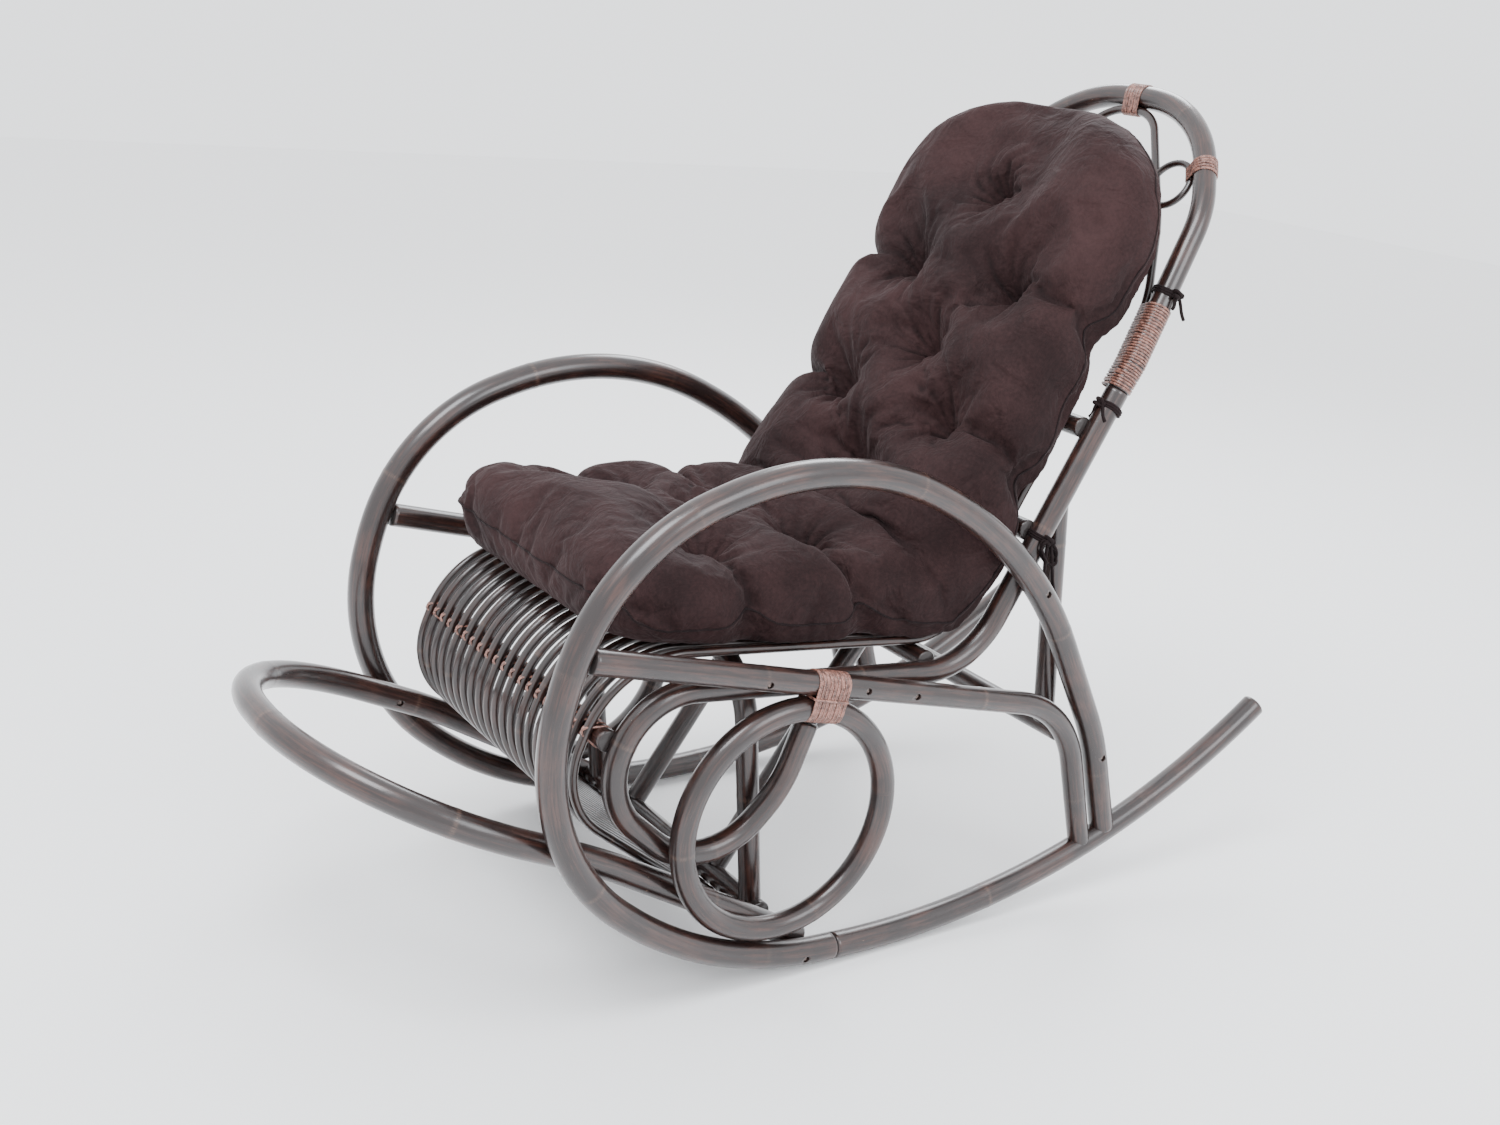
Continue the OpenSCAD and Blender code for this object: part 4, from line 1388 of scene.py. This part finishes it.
@dataclass
class Cushion:
    """The long tufted pad, cut as one piece that folds between seat and back.

    Attributes:
        seat_len: From the fold's corner to the front seam.
        back_len: From the fold's corner to the head seam.
        seat_half: Half width at the front.
        back_half: Half width of the back.
        under: Height of the underside over the seat poles' centre lines.
        thick: Full thickness.
        tufts: Buttonless stitched points as (distance along, x); the back is positive.
        rows: Distances where the edges are drawn in.
        shift: How far the pad has slipped to the sitter's left.
        tuft_depth: How deep a tuft is stitched down.
        tuft_reach: Distance over which a tuft's dimple fades.
        row_depth: Depth of the crease along a row.
        row_reach: Distance over which that crease fades.
        row_pinch: How far a row draws the edge in.
        fold_depth: Depth of the crease between seat and back.
        fold_reach: Distance over which that crease fades.
        hollow: How far the underside rises in the hollow between seat and back.
        hollow_reach: How far from the fold that goes.
        edge: Width of the rounding along the edge.
        front_edge: The same at the front.
        tuck: Width of the rounding under the edge.
        front_tuck: The same at the front.
        crown: How far the middle stands over the edge's rounding.
        droop_from: Distance from the middle where the sides start to hang.
        droop: How fast they hang from there.
        head_r: Rounding of the head.
        front_r: Rounding of the front corners.
        plan: Faces along and across the cover before it is evened.
        filling: How it is blown up.
    """

    seat_len: float = 520.0
    back_len: float = 688.0
    seat_half: float = 230.0
    back_half: float = 217.0
    shift: float = 15.0
    under: float = 42.0
    thick: float = 108.0
    tufts: Sequence[tuple[float, float]] = ((548, 4), (414, -84), (414, 110), (300, 22), (202, -92), (202, 118),
                                            (100, 8), (-136, -92), (-136, 112), (-228, 10), (-318, -96), (-318, 122))
    rows: Sequence[float] = (414, 202, -136, -318)
    tuft_depth: float = 76.0
    tuft_reach: float = 30.0
    row_depth: float = 30.0
    row_reach: float = 17.0
    row_pinch: float = 12.0
    fold_depth: float = 14.0
    fold_reach: float = 22.0
    hollow: float = 13.0
    hollow_reach: float = 80.0
    edge: float = 56.0
    front_edge: float = 90.0
    tuck: float = 18.0
    front_tuck: float = 52.0
    crown: float = 10.0
    droop_from: float = 214.0
    droop: float = 1.15
    head_r: float = 150.0
    front_r: float = 22.0
    plan: tuple[int, int] = (150, 56)
    filling: Filling = Filling()

    def _point(self, s: float, x: float, h: float) -> np.ndarray:
        """The place of a point of the pad.

        Args:
            s: Distance from the fold along the pad, the back positive.
            x: Distance across.
            h: Height over the seat poles' centre lines.

        Returns:
            The point in the row frame, in millimetres.
        """
        fold = math.tan((math.pi / 2 - BACK_LEAN + SEAT_SLOPE) / 2)
        if s >= 0:
            way = np.array([math.sin(BACK_LEAN), math.cos(BACK_LEAN)])
            rise = np.array([-math.cos(BACK_LEAN), math.sin(BACK_LEAN)])
            length = self.back_len
        else:
            way = np.array([-math.cos(SEAT_SLOPE), math.sin(SEAT_SLOPE)])
            rise = np.array([math.sin(SEAT_SLOPE), math.cos(SEAT_SLOPE)])
            length = self.seat_len
        along = h * fold + (length - h * fold) * abs(s) / length
        at = CORNER + way * along + rise * h
        return np.array([x, at[0] + MIDDLE_Y, at[1]])

    def _half_width(self, s: float) -> float:
        """Half the pad's width at a distance along it."""
        blend = min(1.0, max(0.0, (s - 60) / 280))
        blend = blend * blend * (3 - 2 * blend)
        wide = self.seat_half + (self.back_half - self.seat_half) * blend
        for row in self.rows:
            wide -= self.row_pinch * math.exp(-((s - row) / 26) ** 2)
        return wide

    def _outline(self, u: float, v: float) -> tuple[float, float]:
        """Map the unit square onto the pad's plan, with a round head and square front corners."""
        length, radius = (self.back_len, self.head_r) if u > 0 else (self.seat_len, self.front_r)
        s = u * length
        inset = max(0.0, abs(s) - (length - radius)) / radius
        wide = self._half_width(s)
        shrink = radius * (1 - math.sqrt(max(0.0, 1 - min(1.0, inset) ** 2)))
        wide -= shrink * (1.0 if u > 0 else 0.55)
        return s, wide * v + self.shift * min(1.0, max(0.0, s / 200 + 0.4))

    def _height(self, s: float, x: float, rim: float) -> tuple[float, float]:
        """Under and upper height of the pad.

        Args:
            s: Distance along.
            x: Distance across.
            rim: Distance to the seam.

        Returns:
            The two heights over the seat poles' centre lines.
        """
        hollow = self.hollow * max(0.0, 1 - abs(s) / self.hollow_reach) ** 2
        low = self.under + hollow
        roll = self.edge + (self.front_edge - self.edge) * min(1.0, max(0.0, (-80 - s) / 200))
        round_off = math.sqrt(max(0.0, 1 - (1 - min(rim, roll) / roll) ** 2))
        crown = self.crown * min(1.0, rim / 150)
        droop = self.droop * max(0.0, abs(x) - self.droop_from)
        low -= droop
        mid = low + (self.thick - hollow) / 2 - droop * 0.5
        top = mid + (self.thick / 2 + crown) * round_off
        dimple = 0.0
        for ts, tx in self.tufts:
            gap = math.hypot((s - ts) * 0.92, x - tx)
            dimple = max(dimple, self.tuft_depth * math.exp(-gap / self.tuft_reach))
        for row in self.rows:
            outside = max(0.0, abs(x) - 95)
            crease = self.row_depth * math.exp(-abs(s - row) / self.row_reach)
            dimple = max(dimple, crease * (0.6 + 0.4 * min(1.0, outside / 80)))
        top -= dimple * round_off
        top -= self.fold_depth * math.exp(-abs(s) / self.fold_reach) * round_off
        tuck = self.tuck + (self.front_tuck - self.tuck) * min(1.0, max(0.0, (-340 - s) / 120))
        bottom = mid - (mid - low) * math.sqrt(max(0.0, 1 - (1 - min(rim, tuck) / tuck) ** 2))
        return bottom, top

    def _shell(self) -> bpy.types.Mesh:
        """The sewn cover before it is filled."""
        long, wide = self.plan
        broad = self.front_edge
        verts, faces = [], []
        top_index, low_index = {}, {}
        for i in range(long + 1):
            u = -1 + 2 * i / long
            for j in range(wide + 1):
                v = -1 + 2 * j / wide
                s, x = self._outline(u, v)
                end = (1 - abs(u)) * (self.back_len if u > 0 else self.seat_len)
                side = (1 - abs(v)) * self._half_width(s)
                rim = min(end, side)
                if rim <= broad:
                    rim = max(0.0, broad - math.hypot(max(0.0, broad - end), max(0.0, broad - side)))
                low, top = self._height(s, x, rim)
                edge = i in (0, long) or j in (0, wide)
                top_index[i, j] = len(verts)
                verts.append(self._point(s, x, top) * MM)
                if edge:
                    low_index[i, j] = top_index[i, j]
                else:
                    low_index[i, j] = len(verts)
                    verts.append(self._point(s, x, low) * MM)
        for i in range(long):
            for j in range(wide):
                ring = ((i, j), (i + 1, j), (i + 1, j + 1), (i, j + 1))
                faces.append(tuple(top_index[k] for k in ring))
                faces.append(tuple(low_index[k] for k in reversed(ring)))
        mesh = bpy.data.meshes.new("cover")
        mesh.from_pydata([tuple(v) for v in verts], [], faces)
        outward(mesh)
        return mesh

    def build(self, finishes: Finishes) -> None:
        """Sew, fill and dress the pad.

        Args:
            finishes: The finishes.
        """
        shell = as_object("cushion_cover", self._shell(), finishes.cloth)
        self._remesh(shell, self.filling.voxel)
        before = coordinates(shell.data)
        self._fill(shell, before)
        self._smooth(shell, 1)
        self._wrinkle(shell)
        self._fold_shade(shell)
        self._seam(shell, finishes)
        settle(shell, Finish.CLOTH, "cushion")

    @staticmethod
    def _remesh(piece: bpy.types.Object, size: float) -> None:
        """Give the shell even square faces."""
        modifier = piece.modifiers.new("even", "REMESH")
        modifier.mode = "VOXEL"
        modifier.voxel_size = size
        apply_modifiers(piece)

    def _fill(self, piece: bpy.types.Object, before: np.ndarray) -> None:
        """Blow the shell up as cloth, held at the tufts and underneath.

        Args:
            piece: The shell.
            before: Its vertices, in metres.
        """
        held = piece.vertex_groups.new(name="held")
        tufts = np.array([self._point(s, x, self.under + self.thick * 0.55) for s, x in self.tufts]) * MM
        nearest = np.min(np.linalg.norm(before[:, None, :] - tufts[None], axis=2), axis=1)
        for index in np.nonzero(nearest < self.filling.hold)[0]:
            held.add([int(index)], 1.0, "REPLACE")
        for vertex in piece.data.vertices:
            if vertex.normal.z < -0.2 or (vertex.normal.y > 0.55 and vertex.normal.z < 0.35):
                held.add([vertex.index], 0.7, "REPLACE")
        cloth = piece.modifiers.new("fill", "CLOTH")
        settings = cloth.settings
        settings.use_pressure = True
        settings.uniform_pressure_force = self.filling.pressure
        settings.effector_weights.gravity = 0.0
        settings.quality = 6
        settings.mass = 0.3
        settings.tension_stiffness = 18.0
        settings.compression_stiffness = 18.0
        settings.shear_stiffness = 8.0
        settings.bending_stiffness = 0.35
        settings.shrink_min = -0.06
        settings.vertex_group_mass = "held"
        cloth.collision_settings.use_collision = False
        cloth.collision_settings.use_self_collision = False
        scene = bpy.context.scene
        for number in range(1, self.filling.frames + 1):
            scene.frame_set(number)
        apply_modifiers(piece)
        scene.frame_set(1)
        after = coordinates(piece.data)
        move = after - before
        size = np.linalg.norm(move, axis=1)[:, None]
        move *= np.minimum(1.0, self.filling.cap / np.maximum(size, 1e-9))
        piece.data.vertices.foreach_set("co", (before + move).astype(np.float32).ravel())
        piece.data.update()

    @staticmethod
    def _smooth(piece: bpy.types.Object, levels: int) -> None:
        """Subdivide the filled pad."""
        modifier = piece.modifiers.new("fine", "SUBSURF")
        modifier.levels = levels
        modifier.render_levels = levels
        apply_modifiers(piece)

    def _wrinkle(self, piece: bpy.types.Object) -> None:
        """Press folds that run out from every tuft into the upper cloth."""
        co = coordinates(piece.data)
        normals = np.empty(len(co) * 3, np.float32)
        piece.data.vertices.foreach_get("normal", normals)
        normals = normals.reshape(-1, 3)
        rng = np.random.default_rng(21)
        depth = np.zeros(len(co))
        for s, x in self.tufts:
            hub = self._point(s, x, self.under + self.thick * 0.7) * MM
            axis = unit(self._point(s, x, 120) - self._point(s, x, 80))
            across = np.array([1.0, 0.0, 0.0])
            up = np.cross(axis, across)
            away = co - hub
            a, b = away @ across, away @ up
            r = np.hypot(a, b)
            bend = rng.uniform(0, 6.28)
            t = np.arctan2(b, a) + 0.5 * np.sin(r / 0.035 + bend)
            wave = np.zeros(len(co))
            for k in (5, 8, 13):
                wave += rng.uniform(0.5, 1.0) * np.cos(k * t + rng.uniform(0, 6.28)) / (1 + k / 13)
            near = np.exp(-((r - 0.030) / 0.034) ** 2)
            facing = np.clip(normals @ axis, 0, 1)
            depth += np.clip(wave, -1.2, 0.6) * near * facing * 0.0046
        sway = np.sin(co[:, 0] / 0.031 + 2.3 * np.sin(co[:, 2] / 0.047))
        sway *= np.sin(co[:, 2] / 0.026 + 1.7 * np.sin(co[:, 0] / 0.06))
        depth += sway * 0.0006
        co = co + normals * depth[:, None]
        piece.data.vertices.foreach_set("co", co.astype(np.float32).ravel())
        piece.data.update()

    @staticmethod
    def _fold_shade(piece: bpy.types.Object) -> None:
        """Store how deep in a fold each point lies, from the mesh's own curvature, as the mask of the cloth's
        painted shade.
        """
        mesh = piece.data
        co = coordinates(mesh)
        normals = np.empty(len(co) * 3, np.float32)
        mesh.vertices.foreach_get("normal", normals)
        normals = normals.reshape(-1, 3)
        edges = np.empty(len(mesh.edges) * 2, np.int32)
        mesh.edges.foreach_get("vertices", edges)
        edges = edges.reshape(-1, 2)
        total = np.zeros(len(co))
        count = np.zeros(len(co))
        for a, b in ((0, 1), (1, 0)):
            away = co[edges[:, b]] - co[edges[:, a]]
            length = np.maximum(1e-9, np.linalg.norm(away, axis=1))
            lift = np.einsum("ij,ij->i", away, normals[edges[:, a]]) / length
            np.add.at(total, edges[:, a], lift)
            np.add.at(count, edges[:, a], 1)
        bend = total / np.maximum(count, 1)
        for _ in range(3):
            spread = np.zeros(len(co))
            np.add.at(spread, edges[:, 0], bend[edges[:, 1]])
            np.add.at(spread, edges[:, 1], bend[edges[:, 0]])
            bend = 0.5 * bend + 0.5 * spread / np.maximum(count, 1)
        # mask for the painted shade that the cloth material darkens into the folds
        store(mesh, "fold", "FLOAT", np.clip((bend - 0.02) / 0.16, 0, 1))

    def _seam(self, piece: bpy.types.Object, finishes: Finishes) -> None:
        """Lay the stitched edge seam on the filled pad.

        Args:
            piece: The filled pad.
            finishes: The finishes.
        """
        work = bmesh.new()
        work.from_mesh(piece.data)
        tree = BVHTree.FromBMesh(work)
        plan = [(-1 + 2 * i / 120, 1.0) for i in range(121)]
        plan += [(1.0, 1 - 2 * j / 36) for j in range(1, 36)]
        plan += [(1 - 2 * i / 120, -1.0) for i in range(121)]
        plan += [(-1.0, -1 + 2 * j / 40) for j in range(1, 40)]
        line = []
        for u, v in plan:
            s, x = self._outline(u, v)
            low, top = self._height(s, x, 0.0)
            hit = tree.find_nearest(Vector(self._point(s, x * 1.02, (low + top) / 2)) * MM)
            line.append(np.array(hit[0] + hit[1] * 0.0002) / MM)
        work.free()
        line.append(line[0])
        points = resample(np.array(line), 6.0)
        points[-1] = points[0]
        welt = Pole("cushion_seam", points, 2.4, 5, True, 8).build(finishes.tie)
        settle(welt, Finish.CLOTH)


def coordinates(mesh: bpy.types.Mesh) -> np.ndarray:
    """A mesh's vertices, (n, 3) in metres."""
    flat = np.empty(len(mesh.vertices) * 3, np.float32)
    mesh.vertices.foreach_get("co", flat)
    return flat.reshape(-1, 3).astype(float)


def apply_modifiers(piece: bpy.types.Object) -> None:
    """Turn a piece and its modifiers into a plain mesh.

    Args:
        piece: The object.
    """
    graph = bpy.context.evaluated_depsgraph_get()
    mesh = bpy.data.meshes.new_from_object(piece.evaluated_get(graph))
    piece.modifiers.clear()
    piece.data = mesh
    for polygon in mesh.polygons:
        polygon.use_smooth = True


@dataclass
class Ties:
    """Fabric ties that hold the cushion to the frame.

    Attributes:
        head_at: Where the head ties go round the arch, along its leg.
    """

    head_at: float = 98.0

    def build(self, finishes: Finishes) -> None:
        """Build the three pairs of ties and hand them over.

        Args:
            finishes: The finishes.
        """
        for name, length, tail in (("seat_ties", 189.0, 62.0), ("back_ties", 372.0, 24.0)):
            made = [self._tie(side, length, tail, finishes, name) for side in Side]
            join(made[0], made[1:])
            made[0].name = name + "_cloth"
            settle(made[0], Finish.TIE, name)
        made = []
        origin = in_arch(np.zeros((1, 2)))[0]
        for side in Side:
            x = side.value * (SEAT_X - self.head_at * math.tan(ARCH_TAPER))
            at = in_arch(np.array([[x, self.head_at]]))[0]
            way = in_arch(np.array([[-side.value * math.sin(ARCH_TAPER), math.cos(ARCH_TAPER)]]))[0] - origin
            out = np.array([float(side.value), 0.0, 0.0])
            made.append(self._knotted(f"head_{side.word}", at, way, out, 24.0, finishes))
        join(made[0], made[1:])
        made[0].name = "head_ties_cloth"
        settle(made[0], Finish.TIE, "head_ties")

    def _tie(self, side: Side, length: float, tail: float, finishes: Finishes,
             name: str) -> bpy.types.Object:
        """One tie round a back pole."""
        way = np.array([0.0, math.sin(BACK_LEAN), math.cos(BACK_LEAN)])
        at = np.array([side.value * SEAT_X, CORNER[0] + MIDDLE_Y, CORNER[1]]) + way * length
        out = np.array([float(side.value), 0.0, 0.0]) if name == "seat_ties" else np.array([0.0, -1.0, 0.0])
        return self._knotted(f"{name}_{side.word}", at, way, out, tail, finishes)

    @staticmethod
    def _knotted(name: str, at: np.ndarray, way: np.ndarray, out: np.ndarray, tail: float,
                 finishes: Finishes) -> bpy.types.Object:
        """A band round the pole, a knot and two tails.

        Args:
            name: The piece's name.
            at: Where it goes round the pole.
            way: The pole's direction.
            out: Which side the knot is on.
            tail: Length of the tails.
            finishes: The finishes.

        Returns:
            The piece.
        """
        out = unit(out - way * float(out @ way))
        side = np.cross(way, out)
        down = np.array([0.0, 0.0, -1.0])
        angles = np.linspace(0, 2 * math.pi, 49)
        parts = []
        for shift, radius in ((-2.6, 16.2), (0.2, 16.6), (2.8, 16.3)):
            ring = np.array([at + way * (shift + 1.2 * math.sin(2 * a))
                             + radius * (math.cos(a) * out + math.sin(a) * side) for a in angles])
            ring[-1] = ring[0]
            parts.append(Pole(f"{name}_band", ring, 3.2, 3, True, 8).build(finishes.tie))
        knot = at + out * 20.0
        loop = np.array([knot + 5.0 * (math.cos(2 * a + KNOT_SKEW) * side + math.sin(3 * a) * out * 0.7)
                         + way * 3.6 * math.sin(a) for a in angles])
        loop[-1] = loop[0]
        parts.append(Pole(f"{name}_knot", loop, 5.6, 4, True, 10).build(finishes.tie))
        for turn in (-1.0, 1.0):
            hang = np.array([knot + out * (3 * t) + side * turn * (3 + 13 * t * t + 2 * math.sin(5 * t))
                             + down * tail * t for t in np.linspace(0, 1, 14)])
            parts.append(Pole(f"{name}_tail", resample(hang, 3.0), 4.4, 6, False, 10).build(finishes.tie))
            if tail > 40:
                bow = np.array([knot + side * turn * (16 * math.sin(a)) + down * (18 - 18 * math.cos(a)) * 0.8
                                + out * 3 * math.sin(2 * a) for a in angles])
                bow[-1] = bow[0]
                parts.append(Pole(f"{name}_bow", bow, 3.8, 8, True, 8).build(finishes.tie))
        join(parts[0], parts[1:])
        return parts[0]


# ---------------------------------------------------------------- studio


@dataclass(frozen=True)
class Lamp:
    """A large soft light.

    Attributes:
        name: Its name.
        at: Its place.
        size: Its width in metres.
        power: Its power in watts.
    """

    name: str
    at: tuple[float, float, float]
    size: float
    power: float


@dataclass
class Studio:
    """Floor, lights and camera.

    Attributes:
        azimuth: Camera direction round the chair, in degrees.
        elevation: Camera height angle, in degrees.
        distance: From the camera to what it looks at, in metres.
        target: What it looks at.
        lens: Focal length in millimetres.
        sensor: Width of the sensor in millimetres.
        shift: The camera's shift across and up.
        floor_half: Half the floor's width.
        room: Colour of the room's light.
        room_power: Strength of the room's light.
        lamp_colour: Colour of the lamps.
        lamps_at: The point that the lamps face.
        lamps: The lamps.
    """

    azimuth: float = 55.297
    elevation: float = 25.25
    distance: float = 2.27949
    target: tuple[float, float, float] = (0.0, -0.03252, 0.27948)
    lens: float = 40.155
    sensor: float = 36.0
    shift: tuple[float, float] = (-0.0387, 0.0687)
    floor_half: float = 9.0
    room: tuple[float, float, float] = (0.95, 0.97, 1.0)
    room_power: float = 2.1
    lamp_colour: tuple[float, float, float] = (0.93, 0.96, 1.0)
    lamps_at: tuple[float, float, float] = (0.0, 0.0, 0.4)
    lamps: Sequence[Lamp] = (Lamp("key", (0.8, -1.6, 3.4), 1.5, 95.0), Lamp("fill", (3.2, 0.8, 2.4), 1.6, 50.0),
                             Lamp("rim", (-1.8, 2.0, 2.8), 1.4, 55.0))

    def build(self) -> None:
        """Build the floor, lights and camera."""
        self._floor()
        self._lights()
        self._camera()

    def _floor(self) -> None:
        """Lay a large pale floor."""
        mesh = bpy.data.meshes.new("floor")
        s = self.floor_half
        mesh.from_pydata([(-s, -s, 0), (s, -s, 0), (s, s, 0), (-s, s, 0)], [], [(0, 1, 2, 3)])
        as_object("floor", mesh, Plain("floor_paper", (0.93, 0.93, 0.93)).build())

    def _lights(self) -> None:
        """Hang three large soft lights and light the room."""
        world = bpy.data.worlds.new("studio")
        world.use_nodes = True
        sky = world.node_tree.nodes["Background"]
        sky.inputs["Color"].default_value = rgba(self.room)
        sky.inputs["Strength"].default_value = self.room_power
        bpy.context.scene.world = world
        for lamp in self.lamps:
            light = bpy.data.lights.new(lamp.name, "AREA")
            light.size = lamp.size
            light.energy = lamp.power
            light.color = self.lamp_colour
            made = bpy.data.objects.new(lamp.name, light)
            made.location = lamp.at
            made.rotation_euler = (Vector(self.lamps_at) - Vector(lamp.at)).to_track_quat("-Z", "Y").to_euler()
            bpy.context.scene.collection.objects.link(made)

    def _camera(self) -> None:
        """Set up the camera."""
        a, e = math.radians(self.azimuth), math.radians(self.elevation)
        back = Vector((math.sin(a) * math.cos(e), -math.cos(a) * math.cos(e), math.sin(e)))
        data = bpy.data.cameras.new("camera")
        data.lens = self.lens
        data.sensor_width = self.sensor
        data.shift_x, data.shift_y = self.shift
        camera = bpy.data.objects.new("camera", data)
        place = Matrix.Translation(Vector(self.target) + back * self.distance)
        camera.matrix_world = balance() @ place @ (-back).to_track_quat("-Z", "Y").to_matrix().to_4x4()
        bpy.context.scene.collection.objects.link(camera)
        bpy.context.scene.camera = camera


def main() -> None:
    """Build the chair around the loaded frame."""
    logging.basicConfig(level=logging.INFO, format="%(name)s %(message)s")
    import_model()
    finishes = Finishes()
    poles = PoleFrame()
    poles.build(finishes)
    Screws().drill(poles)
    poles.hand_over()
    Screws().build(finishes)
    SeatCanes().build(finishes)
    Lashings().build(finishes)
    Ties().build(finishes)
    Cushion().build(finishes)
    Studio().build()


if __name__ == "__main__":
    main()
